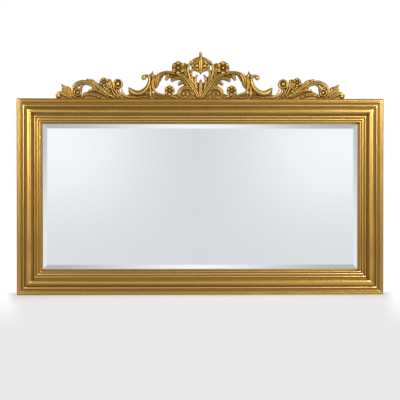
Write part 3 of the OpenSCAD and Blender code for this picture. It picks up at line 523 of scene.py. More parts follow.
def gild_bar(bar, quarter, wear_and_sheen):
    """Uneven gesso, the hollows' attribute, and the bar turned to its side of the frame."""
    mesh = bar.data
    co = coordinates(mesh) / MM
    section = np.column_stack([co[:, 2], BACK_Y - co[:, 1]])
    front = section[:, 1] > FRONT_FROM
    levels = np.unique(np.round(section[front], 1), axis=0)
    depth = hollows(levels, wear_and_sheen)
    order = {tuple(p): d for p, d in zip(levels, depth)}
    recess = [order.get(tuple(p), 0.0) if f else 0.0 for p, f in zip(np.round(section, 1), front)]
    recess = np.array(recess) + RECESS_ON_FLAT
    store(mesh, recess)
    waves = bpy.data.textures.new("gesso_waves", "CLOUDS")
    waves.noise_scale = WAVE_SIZE
    waves.noise_depth = 2
    add_modifier(bar, "DISPLACE", texture=waves, texture_coords="LOCAL", strength=GESSO_WAVE * MM,
                 mid_level=1.0)
    apply_modifiers(bar)
    away = FRAME_W / 2 if quarter % 2 else FRAME_H / 2
    turn = Matrix.Rotation(math.radians(90 * quarter), 4, "Y")
    bar.matrix_world = (Matrix.Translation((0, 0, FRAME_H / 2 * MM)) @ turn
                        @ Matrix.Translation((0, 0, -away * MM)))
    activate(bar)
    bpy.ops.object.transform_apply(location=True, rotation=True, scale=True)
    # On the stiles, painted shade darkens the lower part, the outer edge and the slips beside the glass.
    if quarter % 2:
        co = coordinates(mesh) / MM
        shade_share = np.exp(-((co[:, 2] - STILE_SHADE_Z) / STILE_SHADE_SPREAD) ** 2)
        on_slip = SLIP_SHARE * (section[:, 0] > FACE_W)
        shade_share = np.maximum(shade_share, np.where(section[:, 0] < ARRIS_IN, EDGE_SHARE, on_slip))
        store(mesh, recess + shade_share * np.maximum(STILE_SHADE - recess, 0))


def bar_set(outline, names, wears_and_sheens):
    """The four bars of one section: bottom, left, top and right, in the order of the quarter turns."""
    long_bar, short_bar = mitred_bar(outline, FRAME_W), mitred_bar(outline, FRAME_H)
    for quarter, name in enumerate(names):
        source = short_bar if quarter % 2 else long_bar
        bar = new_object(name, source.data.copy())
        gild_bar(bar, quarter, wears_and_sheens[quarter])
        materials = [GOLD_UP, WOOD_UP] if quarter % 2 else [GOLD_ALONG, WOOD_ALONG]
        finish_piece(bar, "gilded_" + name, materials, name)
        behind = (BACK_Y - BARE_TO) * MM
        for face in bar.data.polygons:
            face.material_index = 1 if face.center.y > behind or face.normal.y > BACKWARDS else 0
        activate(bar)
        bpy.ops.object.shade_smooth_by_angle(angle=FRAME_CREASE)
    bpy.data.objects.remove(long_bar)
    bpy.data.objects.remove(short_bar)


bar_set(outer_outline, ["bottom_rail", "left_stile", "top_rail", "right_stile"], RAIL_WEAR_AND_SHEEN)
bar_set(slip_outline, ["bottom_slip", "left_slip", "top_slip", "right_slip"], SLIP_WEAR_AND_SHEEN)


# ---------------------------------------------------------------- carved crest
def spiral(centre, radii, angles, widths, reliefs):
    """Points of a frond that winds round a centre, from the first angle to the last, in degrees."""
    steps = max(3, round(abs(angles[1] - angles[0]) / 40))
    points = []
    for t in np.linspace(0, 1, steps + 1):
        radius, angle, width, relief = (a + (b - a) * t for a, b in (radii, angles, widths, reliefs))
        a = math.radians(angle)
        points.append([centre[0] + radius * math.cos(a), centre[1] + radius * math.sin(a), width, relief])
    return points


def disc(centre, radius):
    """Outline of a round plate."""
    return [[centre[0] + radius * math.cos(a), centre[1] + radius * math.sin(a)]
            for a in np.linspace(0, 2 * math.pi, 24, endpoint=False)]


# Each point of a frond is [out from the middle, above the frame, half width, relief], as the part draws it.
# A frond's style says how its face is cut: two or three reeds side by side, a hollow between two rims,
# a fold along one side, a leaf with veins, or, when it is round, not at all.
VOLUTE, END_VOLUTE = (339, 60), (502, 25)
CENTRE_FRONDS = [
    ("reeds", [[9, 8, 5, 18], [17, 40, 6, 22], [22, 70, 6, 23], [19, 90, 5, 22], [11, 99, 1.5, 12]]),
    ("hollow", [[24, 35, 6, 20], [33, 68, 6, 24], [37, 92, 5, 24], [38, 113, 5, 22], [31, 123, 4, 18]]),
    ("reeds", [[28, 40, 6, 20], [40, 76, 7, 26], [50, 105, 6, 27], [52, 125, 5.5, 27], [47, 141, 5, 26],
        [36, 151, 5, 24], [20, 157, 4, 18]]),
    ("leaf", [[53, 76, 8, 20], [60, 100, 8, 22], [64, 125, 7, 20], [64, 147, 2.5, 12]]),
    ("leaf", [[72, 92, 9, 16], [86, 112, 10, 15], [90, 130, 10, 15]]),
    ("leaf", [[12, 12, 12, 16], [30, 40, 13, 18], [50, 62, 13, 19], [70, 80, 10, 18]]),
    ("reeds", [[9, 5, 7, 20], [20, 27, 9, 24], [34, 49, 10, 27], [50, 72, 10, 28], [69, 90, 9, 28],
        [91, 101, 9, 28], [116, 106, 8, 28], [141, 107, 8, 29], [161, 101, 9, 29],
        [174, 89, 12, 28], [179, 73, 12, 26], [181, 59, 10, 22], [184, 45, 4, 14]]),
    ("leaf", [[158, 96, 6, 20], [163, 83, 4, 18], [166, 72, 1.5, 12]]),
    ("leaf", [[134, 104, 9, 22], [136, 90, 8.5, 23], [142, 78, 6, 20]]),
    ("leaf", [[52, 66, 8, 22], [75, 82, 7.5, 25], [96, 85, 8.5, 26], [112, 80, 8.5, 25], [120, 73, 6, 20]]),
    ("leaf", [[40, 45, 7, 22], [59, 62, 7, 24], [75, 68, 7.5, 24], [85, 64, 7.5, 22], [90, 57, 5, 18]]),
    ("leaf", [[22, 3, 4, 15], [33, 7, 4.5, 17], [44, 6, 3, 15]]),
    ("leaf", [[52, 3, 4, 15], [64, 7, 5, 18], [76, 5, 3.5, 16]]),
    ("leaf", [[98, 3, 4, 15], [108, 9, 5, 18], [119, 8, 3, 15]]),
    ("round", [[196, 16, 2.5, 16], [186, 8, 3, 18], [168, 4, 3.2, 19], [150, 5, 3, 18], [140, 10, 2.5, 16]]),
    ("leaf", [[120, 10, 3, 16], [126, 16, 5, 19], [131, 11, 3, 16]]),
    ("hollow", [[14, 14, 6, 20], [30, 35, 8, 24], [48, 45, 8.5, 26], [69, 45, 8.5, 26], [83, 37, 8, 24],
        [89, 23, 7.5, 22], [88, 8, 5, 18]]),
    ("round", spiral((64, 19), (12, 5), (200, -60), (3.2, 3.0), (16, 19))),
    ("leaf", [[24, 12, 4, 15], [34, 22, 5.5, 19], [42, 32, 4.5, 18]]),
    ("hollow", [[163, 20, 5, 20], [175, 22, 5, 21], [187, 31, 5, 22], [194, 45, 6.5, 23],
        [196, 61, 6.5, 24], [194, 78, 6.5, 25], [186, 95, 5, 22]]),
    ("leaf", [[191, 78, 5, 20], [196, 95, 6.5, 20], [198, 105, 4, 16], [198, 114, 1.5, 12]]),
    ("reeds", [[127, 6, 9, 15], [127, 38, 9, 15]]),
    ("leaf", [[3, 112, 5, 16], [16, 119, 6, 19], [29, 121, 5, 18], [35, 128, 2.5, 14]]),
    ("leaf", [[3, 168, 7, 21], [14, 163, 8, 24], [27, 156, 7.5, 23], [37, 153, 4.5, 18],
        [44, 156, 1.5, 12]]),
    ("leaf", [[34, 148, 5, 19], [33, 137, 6, 21], [24, 127, 6.5, 22], [12, 120, 6, 20]]),
    ("leaf", [[5, 162, 5, 20], [12, 154, 6, 23], [20, 148, 5, 21], [27, 142, 3, 18]])]
MIDDLE_FRONDS = [
    ("round", [[0, 101, 1.5, 14], [0, 116, 9, 21], [0, 137, 12, 24], [0, 158, 10, 24], [0, 178, 5, 20]]),
    ("three reeds", [[0, 2, 9, 22], [0, 20, 10, 24], [0, 50, 8, 24], [0, 70, 6.5, 22], [0, 80, 2, 14]])]
SCROLL_FRONDS = [
    ("fold", [[295, 46, 2.5, 14], [287, 36, 9, 20], [277, 27, 12, 24], [263, 21.5, 13, 27],
        [247, 22.5, 13, 29], [232, 31, 12, 29], [219, 45, 10, 28], [211, 62, 8.5, 27],
        [209, 80, 7, 26], [214, 92, 6, 25], [223, 95, 6, 24], [232, 88, 7, 24]]),
    ("leaf", [[296, 28, 2, 14], [284, 24, 6, 18], [268, 16, 6, 18]]),
    ("leaf", [[206, 68, 5, 20], [206, 90, 6, 20], [204, 103, 2.5, 12]]),
    ("leaf", [[206, 4, 3, 20], [206, 18, 5.5, 25], [206, 36, 5, 23], [206, 70, 3, 18]]),
    ("round", [[214, 18, 2, 18], [206, 19, 3, 22], [200, 18, 2, 18]]),
    ("round", [[214, 5, 2.5, 16], [228, 9, 3, 18], [246, 7, 3, 18], [262, 5, 2.5, 16]]),
    ("hollow", [[323, 40, 2, 14], [321, 26, 4.5, 18], [311, 13, 5.5, 20], [292, 7, 5, 20], [268, 6, 4, 18]])]
END_FRONDS = [
    ("round", [[324, 6, 3, 18], [338, 15, 3.5, 20], [350, 31, 3.5, 23], [356, 48, 3.3, 25]]
     + spiral(VOLUTE, (18.5, 17.5), (0, 230), (3.6, 3.6), (26, 27))
     + spiral(VOLUTE, (15, 14), (270, 430), (3.8, 3.4), (26, 25))),
    ("round", [[362, 66, 2.5, 20], [364, 46, 3.4, 23], [359, 28, 3.6, 22], [349, 14, 3.4, 20],
        [336, 5, 3, 17]]),
    ("leaf", [[338, 18, 2.5, 15], [346, 32, 5, 19], [343, 43, 2.5, 16]]),
    ("leaf", [[329, 14, 3, 15], [333, 26, 4.5, 18], [337, 38, 3, 16]]),
    ("leaf", [[368, 78, 4, 16], [369, 58, 5, 20], [366, 40, 4, 20]]),
    ("leaf", [[360, 8, 8, 18], [380, 27, 11, 20], [399, 47, 12, 20], [414, 64, 5, 16]]),
    ("leaf", [[374, 43, 9, 20], [377, 64, 8, 22], [377, 80, 4, 14]]),
    ("reeds", [[354, 6, 7, 20], [378, 18, 8, 24], [403, 37, 9, 26], [424, 55, 9, 27], [441, 71, 7, 24],
        [449, 79, 2, 14]]),
    ("leaf", [[430, 50, 8, 22], [447, 66, 8, 25], [459, 76, 6, 22], [467, 81, 2, 14]]),
    ("reeds", [[391, 20, 8, 20], [424, 43, 9, 23], [448, 59, 9, 25], [469, 66, 10, 27], [489, 66, 10, 28],
        [508, 59, 9, 28], [520, 47, 7, 26], [524, 31, 5.5, 24], [519, 14, 4.5, 20], [504, 6, 4, 18]]),
    ("round", spiral(END_VOLUTE, (14.5, 12.5), (150, -190), (4.0, 3.4), (27, 26))),
    ("round", [[527, 44, 2.4, 24], [529, 28, 2.8, 22], [523, 12, 2.8, 20], [508, 4, 2.8, 18]]),
    ("round", [[515, 31, 2.6, 20], [511, 43, 3, 22], [502, 52, 3.2, 22], [489, 57, 3, 20]]),
    ("reeds", [[489, 36, 5, 20], [490, 48, 5, 22], [482, 58, 7, 22]]),
    ("leaf", [[374, 8, 8, 18], [395, 20, 8, 22], [415, 31, 8, 24], [436, 36, 7, 24], [452, 35, 5.5, 20],
        [460, 30, 2, 14]]),
    ("leaf", [[411, 9, 8, 16], [436, 17, 9, 19], [460, 19, 8, 18], [478, 15, 6, 16]]),
    ("hollow", [[530, 6, 6, 18], [551, 15, 8, 22], [567, 22, 8, 24], [580, 22, 7.5, 24], [587, 14, 7, 22],
        [586, 5, 5, 18]]),
    ("leaf", [[528, 16, 8, 18], [547, 35, 10, 22], [559, 47, 8, 22], [569, 58, 2.5, 14]]),
    ("leaf", [[536, 14, 8, 18], [555, 27, 8, 20], [568, 39, 3, 14]]),
    ("leaf", [[526, 10, 7, 18], [536, 28, 10, 20], [541, 42, 8, 18], [544, 49, 3, 14]])]

CENTRE_GROUND = [[0, 0], [210, 0], [210, 98], [197, 98], [200, 60], [196, 24], [188, 24], [180, 18],
        [152, 20], [142, 20], [138, 14], [116, 14], [108, 18], [98, 22], [88, 22], [84, 36], [74, 48],
        [70, 56], [60, 60], [50, 68], [24, 56], [14, 68], [6, 66], [0, 66]]
STEM_GROUND = [[8, 20], [20, 60], [23, 88], [32, 92], [38, 116], [47, 119], [50, 130], [55, 144],
        [71, 146], [84, 138], [110, 110], [96, 96], [76, 88], [50, 60], [30, 20]]
LOBE_GROUND = [[50, 66], [91, 98], [116, 103], [134, 101], [125, 84], [112, 82], [92, 86], [70, 80]]
SHELL_GROUND = [[0, 104], [12, 114], [31, 119], [31, 132], [42, 153], [30, 162], [8, 172], [0, 174]]
SCROLL_GROUND = [[200, 0], [326, 0], [326, 20], [316, 14], [305, 12], [285, 26], [262, 22], [245, 24],
        [230, 32], [216, 46], [208, 62], [208, 86], [200, 86]]
END_GROUND = [[320, 0], [590, 0], [588, 5], [578, 16], [560, 20], [535, 20], [520, 16], [485, 14],
        [481, 24], [468, 28], [455, 30], [436, 34], [415, 36], [400, 50], [388, 72], [378, 77], [366, 73],
        [362, 46], [345, 50], [333, 42], [330, 29], [326, 22], [320, 22]]
# Carved balls: [out, above, radius, relief]
CENTRE_BALLS = [[16.5, 134, 7.5, 29], [151, 17, 6, 17]]
FINIAL = [0, 185, 7, 22]
SCROLL_BALLS = [[233, 87, 10, 28], [215, 28, 4.5, 18], [222, 22, 4.5, 18]]
END_BALLS = [[*VOLUTE, 8, 29], [*END_VOLUTE, 6.5, 28], [417, 7, 5, 24], [382, 53, 5, 24], [375, 30, 5, 24],
        [367, 12, 5, 24], [393, 30, 5, 24], [485, 10, 5, 24], [580, 10, 7, 21]]
GROUND_D = 13
SEAT_D = 15
SEAT_GAP = 1
SHELL_D = 17                    # heights of the shell's ground, the discs under the scrolls and the volutes
SCROLL_DISC_D = 15
VOLUTE_D = 19
CENTRE_GROUNDS = [(CENTRE_GROUND, GROUND_D), (STEM_GROUND, GROUND_D), (LOBE_GROUND, GROUND_D),
                  (SHELL_GROUND, SHELL_D), (disc((60, 14), 26), SCROLL_DISC_D)]
END_GROUNDS = [(END_GROUND, GROUND_D), (disc(VOLUTE, 19), VOLUTE_D), (disc(END_VOLUTE, 16), VOLUTE_D)]
CENTRE_OUT = 201.9
SCROLL_OUT = 325.9
SEAM = 0.2
UPPER_ROSETTE = (92, 126, 26)
LOWER_ROSETTE = (127, 33, 20.5)
END_ROSETTE = (396, 68, 17)
PETALS = 6

CURVE_STEPS = 8
ACROSS = 25                     # points over a frond's face
END_TURNS = (35, 62, 84)        # degrees at which rings stand round a frond's end, and their reach
END_REACH = 2.5
FROND_EDGE = 0.38               # height of a frond's edge, as a share of its relief
DEEPEST_CUT = 4.4
LOBE_SHARE = 0.06               # how far a leaf's edge waves
LOBE_PITCH = 15                 # distance between the waves along a leaf's edge
CARVED_VOXEL = 1.15             # grain of the joined carving
SMOOTHINGS = 4
MOST_TRIANGLES = 196000
CENTRE_PATINA = 0.2             # the middle of the crest has kept more of its glaze
SPREADINGS = (6, 60)            # turns of evening out that show the narrow hollows, and the wide ones
SPREAD_SHARE = 0.6
WIDE_GLAZE_SHADE = 0.38               # glaze and painted shade in wide hollows, and on low ground: where it starts, and its depth
LOW_GLAZE_SHADE = 0.35
LOW_D = 15.5
LOW_DROP = 3.5
BEAD_SHARE = 0.21               # a rosette's bead, and the ring around it, as shares of its radius
RING_SHARE = 0.36
ROSETTE_GLAZE_SHADE = (0.75, 2.5)     # its glaze and painted shade at the bottom, and how fast it goes with the height


def smooth_path(points):
    """A curve through the points, with all four of their values."""
    p = np.array(points, float)
    padded = np.vstack([p[:1], p, p[-1:]])
    rows = []
    for i in range(len(p) - 1):
        a, b, c, d = padded[i:i + 4]
        for t in np.arange(CURVE_STEPS) / CURVE_STEPS:
            bend = (2 * a - 5 * b + 4 * c - d) + t * (3 * (b - c) + d - a)
            rows.append(b + 0.5 * t * ((c - a) + t * bend))
    rows.append(p[-1])
    return np.array(rows)


def with_round_ends(path):
    """Adds rings that draw in past each end, so that a frond has no cut-off end."""
    rows = [path]
    for end, inner, flip in ((0, 1, -1), (-1, -2, 1)):
        tip = path[end]
        way = tip[:2] - path[inner][:2]
        way /= np.linalg.norm(way)
        reach = min(tip[2], END_REACH)
        extra = []
        for a in np.radians(END_TURNS):
            ring = tip.copy()
            ring[:2] += way * reach * math.sin(a)
            ring[2] *= math.cos(a)
            ring[3] *= 0.45 + 0.55 * math.cos(a)
            extra.append(ring)
        rows = rows + [np.array(extra)] if flip > 0 else [np.array(extra[::-1])] + rows
    return np.vstack(rows)


def face_height(style, s, half_width):
    """Share of the relief at s, from -1 to 1 across a frond, and the depth of what is cut into it."""
    dome = (1 - np.abs(s) ** 2.4) ** 0.55
    inside = 1 - np.abs(s) ** 6
    depth = min(DEEPEST_CUT, 0.55 * half_width)
    if style == "round":
        cut = 0 * s
    elif style == "hollow":
        cut = 1.1 * depth * np.maximum(np.cos(math.pi * np.clip(s, -0.72, 0.72) / 1.44), 0) ** 1.2
    elif style == "fold":
        cut = depth * (0.6 * np.exp(-((-s - 0.42) / 0.15) ** 2) + 0.2 * np.exp(-((-s + 0.5) / 0.3) ** 2))
    elif style.endswith("reeds"):
        reeds = 3 if style == "three reeds" else 2
        cut = depth * (1 - np.abs(np.sin(math.pi * reeds * (s + 1) / 2)) ** 1.1) * inside
    else:
        vein = np.exp(-(s / 0.2) ** 2)
        flutes = (1 - np.abs(np.sin(2 * math.pi * s)) ** 0.8) * inside
        cut = depth * np.maximum(vein, 0.45 * flutes)
    return FROND_EDGE + (1 - FROND_EDGE) * dome, cut


def bands(rings, around):
    """The four-sided faces between each ring of corners and the next."""
    return [[i * around + k, i * around + (k + 1) % around, (i + 1) * around + (k + 1) % around,
             (i + 1) * around + k] for i in range(rings - 1) for k in range(around)]


class Carving:
    """Closed, flat-backed forms that are gathered and then joined into one carved piece."""

    def __init__(self):
        self.corners = []
        self.faces = []
        self.count = 0

    def add(self, corners, faces):
        corners = np.asarray(corners, float)
        self.corners.append(corners)
        self.faces += [[i + self.count for i in f] for f in faces]
        self.count += len(corners)

    def frond(self, style, points):
        path = with_round_ends(smooth_path(points))
        runs = np.concatenate([[0], np.cumsum(np.linalg.norm(np.diff(path[:, :2], axis=0), axis=1))])
        s = np.sin(np.linspace(-1, 1, ACROSS) * math.pi / 2)
        corners = []
        for i, (ring, run) in enumerate(zip(path, runs)):
            way = path[min(i + 1, len(path) - 1), :2] - path[max(i - 1, 0), :2]
            way /= max(np.linalg.norm(way), 1e-9)
            lobe = LOBE_SHARE * math.cos(2 * math.pi * run / LOBE_PITCH) if style == "leaf" else 0
            width = ring[2] * (1 + lobe)
            share, cut = face_height(style, s, ring[2])
            out = ring[0] - way[1] * s * width
            up = ring[1] + way[0] * s * width
            rise = share * ring[3] - cut
            section = np.column_stack([out, up, rise])
            edge = section[[-1, 0]].copy()
            edge[:, 2] = 0
            corners.append(np.vstack([section, edge]))
        sides = ACROSS + 2
        faces = bands(len(path), sides)
        last = (len(path) - 1) * sides
        faces += [list(range(sides))[::-1], [last + k for k in range(sides)]]
        self.add(np.vstack(corners), faces)

    def layer(self, outline, rise):
        n = len(outline)
        corners = [[*p, 0] for p in outline] + [[*p, rise] for p in outline]
        faces = [list(range(n))[::-1], [n + i for i in range(n)]]
        self.add(corners, faces + bands(2, n))

    def ball(self, out, up, radius, relief):
        """A ball on a round foot that goes down to the back."""
        around, rings = 20, 8
        angles = np.linspace(0, 2 * math.pi, around, endpoint=False)
        tilts = np.linspace(0, math.pi / 2, rings)[:-1]
        levels = [(radius, 0)]
        levels += [(radius * math.cos(t), relief - radius + radius * math.sin(t)) for t in tilts]
        corners = [[out + r * math.cos(a), up + r * math.sin(a), h] for r, h in levels for a in angles]
        corners.append([out, up, relief])
        faces = bands(len(levels), around)
        top, last = len(corners) - 1, (len(levels) - 1) * around
        faces += [[last + k, last + (k + 1) % around, top] for k in range(around)]
        faces.append(list(range(around))[::-1])
        self.add(corners, faces)

    def gather(self, fronds, grounds, balls):
        for make, forms in ((self.frond, fronds), (self.layer, grounds), (self.ball, balls)):
            for form in forms:
                make(*form)

    def mirrored(self):
        """Adds the same forms on the other side of the middle."""
        self.add(np.vstack(self.corners) * (-1, 1, 1), [f[::-1] for f in self.faces])

    def raw(self, name):
        corners = np.vstack(self.corners)
        world = np.column_stack([corners[:, 0], BACK_Y - corners[:, 2], TOP_Z + corners[:, 1]]) * MM
        mesh = bpy.data.meshes.new(name)
        mesh.from_pydata(world.tolist(), [], self.faces)
        piece = new_object(name, mesh)
        face_outwards(piece)
        return piece

    def joined(self, name):
        piece = self.raw(name)
        add_modifier(piece, "REMESH", mode="VOXEL", voxel_size=CARVED_VOXEL * MM)
        add_modifier(piece, "SMOOTH", factor=0.5, iterations=SMOOTHINGS)
        apply_modifiers(piece)
        return piece


def keep_side(piece, point, normal):
    """Cuts a piece flat and closes it, and keeps what lies behind the normal."""
    activate(piece)
    set_mode("EDIT")
    bisect(point, normal)
    set_mode("OBJECT")


def seat(piece, place):
    """Presses a round flat into a carving, for a flower to sit on."""
    out, up, radius = place
    co = coordinates(piece.data) / MM
    near = np.hypot(co[:, 0] - out, co[:, 2] - TOP_Z - up) < radius + SEAT_GAP
    co[near, 1] = np.maximum(co[near, 1], BACK_Y - SEAT_D)
    piece.data.vertices.foreach_set("co", (co * MM).ravel())
    piece.data.update()


def lighten(piece):
    """Thins a carving's mesh to what one piece may hold."""
    piece.data.calc_loop_triangles()
    triangles = len(piece.data.loop_triangles)
    if triangles > MOST_TRIANGLES:
        add_modifier(piece, "DECIMATE", ratio=MOST_TRIANGLES / triangles)
        apply_modifiers(piece)


def mark_hollows(piece, patina):
    """Stores how far each point lies under its surroundings, near and wide, as the recess attribute."""
    mesh = piece.data
    co = coordinates(mesh) / MM
    normals = read(mesh.vertices, "normal", 3)
    a, b = read(mesh.edges, "vertices", 2, int).T
    count = len(co)
    degree = np.maximum(np.bincount(a, minlength=count) + np.bincount(b, minlength=count), 1)
    smooth = co.copy()
    depths = []
    for turn in range(SPREADINGS[-1]):
        sums = [np.bincount(a, smooth[b, k], count) + np.bincount(b, smooth[a, k], count) for k in range(3)]
        mean = np.column_stack([total / degree for total in sums])
        smooth = (1 - SPREAD_SHARE) * smooth + SPREAD_SHARE * mean
        if turn + 1 in SPREADINGS:
            depths.append(((smooth - co) * normals).sum(axis=1) / CARVED_VOXEL)
    low = np.clip((LOW_D - (BACK_Y - co[:, 1])) / LOW_DROP, 0, 1)
    # Glaze and painted shade gather in narrow and wide hollows and on the low ground.
    recess = depths[0] + WIDE_GLAZE_SHADE * depths[1] + LOW_GLAZE_SHADE * low + patina
    store(mesh, np.clip(recess, -1, 1))


def dress_carving(piece, node, rise):
    """Gilds a carving and leaves its flat back as bare timber."""
    activate(piece)
    bpy.ops.object.shade_smooth_by_angle(angle=CARVED_CREASE)
    finish_piece(piece, "carved_" + node, [GOLD_CARVED, WOOD_ALONG], node)
    behind = (BACK_Y - rise - BACK_SLACK) * MM
    backs = [face.normal.y > BACKWARDS and face.center.y > behind for face in piece.data.polygons]
    piece.data.polygons.foreach_set("material_index", np.array(backs, int))


def finish_carving(piece, node, seats, cuts, patina=0.0):
    for place in seats:
        seat(piece, place)
    keep_side(piece, (0, 0, TOP_Z), (0, 0, -1))
    for point, normal in cuts:
        keep_side(piece, point, normal)
    lighten(piece)
    mark_hollows(piece, patina)
    dress_carving(piece, node, 0)


def mirrored_piece(piece, node):
    """The same piece on the left of the middle."""
    copy = new_object("carved_" + node, piece.data.copy())
    copy.scale = (-1, 1, 1)
    activate(copy)
    bpy.ops.object.transform_apply(location=True, rotation=True, scale=True)
    face_outwards(copy)
    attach(copy, BODY)
    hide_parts(node)


def carve_centre():
    carving = Carving()
    carving.gather(CENTRE_FRONDS, CENTRE_GROUNDS, CENTRE_BALLS)
    carving.mirrored()
    carving.gather(MIDDLE_FRONDS, [], [FINIAL])
    piece = carving.joined("crest_centre")
    places = [(side * out, up, r) for side in (-1, 1) for out, up, r in (UPPER_ROSETTE, LOWER_ROSETTE)]
    cuts = [((side * CENTRE_OUT, 0, 0), (side, 0, 0)) for side in (-1, 1)]
    finish_carving(piece, "crest_centre", places, cuts, CENTRE_PATINA)


def carve_side(name, fronds, grounds, balls, seats, cuts):
    carving = Carving()
    carving.gather(fronds, grounds, balls)
    piece = carving.joined(name)
    finish_carving(piece, name + "_right", seats, cuts)
    mirrored_piece(piece, name + "_left")


def flower_height(share, across):
    """Height of a rosette as a share of its radius: a bead, a deep ring, and cupped petals with creases."""
    out = np.clip((share - RING_SHARE) / (1 - RING_SHARE), 0, 1)
    petal = 0.10 + 0.34 * np.sin(math.pi * np.clip(out * 0.86 + 0.02, 0, 1)) ** 0.8
    petal -= 0.10 * np.exp(-(across / 0.42) ** 2) * np.sin(math.pi * out)
    petal -= 0.30 * np.exp(-((1 - np.abs(across)) / 0.2) ** 2) * np.clip(out * 3, 0, 1)
    bead = 0.32 + 0.20 * np.sqrt(np.clip(1 - (share / BEAD_SHARE) ** 2, 0, 1))
    ring = 0.06 + 0.10 * np.clip((0.28 - share) / 0.05, 0, 1)
    return np.where(share < BEAD_SHARE, bead, np.where(share < RING_SHARE, ring, np.maximum(petal, 0.05)))


def carve_rosette(name, place):
    out, up, radius = place
    rings, around = 40, 132
    shares = np.linspace(0, 1, rings + 1)[1:]
    angles = np.linspace(0, 2 * math.pi, around, endpoint=False)
    across = ((angles - math.pi / 2) * PETALS / (2 * math.pi) + 0.5) % 1 * 2 - 1
    edge = radius * (0.88 + 0.18 * np.sqrt(1 - 0.9 * across ** 2))
    corners, recess = [[out, up, SEAT_D + 0.5 * radius]], [-0.5]
    for share in shares:
        height = flower_height(np.full(around, share), across)
        for a, e, h in zip(angles, edge, height):
            reach = e * share
            corners.append([out + reach * math.cos(a), up + reach * math.sin(a), SEAT_D + h * radius])
            # Glaze and painted shade, darker the lower the point lies.
            recess.append(ROSETTE_GLAZE_SHADE[0] - ROSETTE_GLAZE_SHADE[1] * h)
    corners += [[x, z, SEAT_D] for x, z, _ in corners[-around:]]
    recess += [0.9] * around
    faces = [[0, 1 + k, 1 + (k + 1) % around] for k in range(around)]
    faces += [[1 + a, 1 + d, 1 + c, 1 + b] for a, b, c, d in bands(rings + 1, around)]
    faces.append([1 + rings * around + k for k in range(around)][::-1])
    carving = Carving()
    carving.add(corners, faces)
    piece = carving.raw(name)
    add_modifier(piece, "SMOOTH", factor=0.5, iterations=2)
    apply_modifiers(piece)
    co = coordinates(piece.data)
    co[:, 1] = np.minimum(co[:, 1], (BACK_Y - SEAT_D) * MM)
    co[-around:, 1] = (BACK_Y - SEAT_D) * MM
    piece.data.vertices.foreach_set("co", co.ravel())
    store(piece.data, np.clip(recess, -0.6, 1))
    dress_carving(piece, name + "_right", SEAT_D)
    mirrored_piece(piece, name + "_left")


carve_centre()
carve_side("crest_scroll", SCROLL_FRONDS, [(SCROLL_GROUND, GROUND_D)], SCROLL_BALLS, [],
           [((CENTRE_OUT + SEAM, 0, 0), (-1, 0, 0)), ((SCROLL_OUT, 0, 0), (1, 0, 0))])
carve_side("crest_end", END_FRONDS, END_GROUNDS, END_BALLS, [END_ROSETTE], [])
carve_rosette("rosette_upper", UPPER_ROSETTE)
carve_rosette("rosette_lower", LOWER_ROSETTE)
carve_rosette("rosette_end", END_ROSETTE)


# ---------------------------------------------------------------- hardware
def dress(names, material, softness=0.0):
    """Gives CAD nodes a finish, and rounds their edges where they have a softness."""
    for name in names:
        node = NODES[name]
        node.data.materials.clear()
        node.data.materials.append(material)
        if softness:
            add_modifier(node, "WELD", merge_threshold=0.001 * MM)
            add_modifier(node, "BEVEL", width=softness * MM, segments=2, limit_method="ANGLE",
                         angle_limit=BOARD_ARRIS_FROM)


dress(["mirror_plate"], SILVER)
dress(["backboard"], HARDBOARD, BOARD_SOFTNESS)
dress(["mitre_splines", "crest_dowels"], WOOD_ALONG)
dress(["rebate_tape", "setting_blocks", "wall_bumpers"], FOAM)
STEEL_PARTS = ("turn_button", "hanger", "d_ring", "corner_plate", "crest_plate")
dress([n for n in NODES if n.startswith(STEEL_PARTS)], STEEL)


# ---------------------------------------------------------------- stage, light, camera
CAMERA = Vector((-0.079, -4.0, 0.415))
CAMERA_YAW = math.radians(1.093)     # to the right
CAMERA_PITCH = math.radians(-0.396)
CAMERA_LENS = 87.9
SENSOR = 36
FLOOR_SIZE = 30
FLOOR_GREY = 0.815
FLOOR_COLOUR = (0.76, 0.75, 0.73)
FADED_AHEAD = 0.42                   # metres over which the floor fades for the camera
FADED_ASIDE = (0.735, 0.80)
FADED_BEHIND = 0.1
WHITE_TO_GREY = (-0.03, 1.2)
VIEW_NARROWS = 0.2                   # how fast half the picture's width shrinks towards the camera
FRONT_LEVEL = 0.72                   # brightness of the studio by direction
SIDE_LEVEL = 0.32
SIDE_LEVEL_HIGH = 0.50
LOW_PANEL_LEVEL = 1.25               # the lit floor in front of the mirror
CEILING_LEVEL = 0.21
CEILING_LEVEL_RIGHT = 0.75
FLOOR_LEVEL = 0.32
FLOOR_LEVEL_RIGHT = 0.90
DIFFUSE_LEVEL = 0.62
LIGHTS_AIM = Vector((0, 0, 0.6))
# Each softbox: name, place, size, power
SOFTBOXES = [("softbox_left", (-2.1, -2.2, 1.25), (0.9, 1.1), 42),
             ("softbox_right", (1.9, -2.2, 1.5), (1.1, 1.0), 62)]


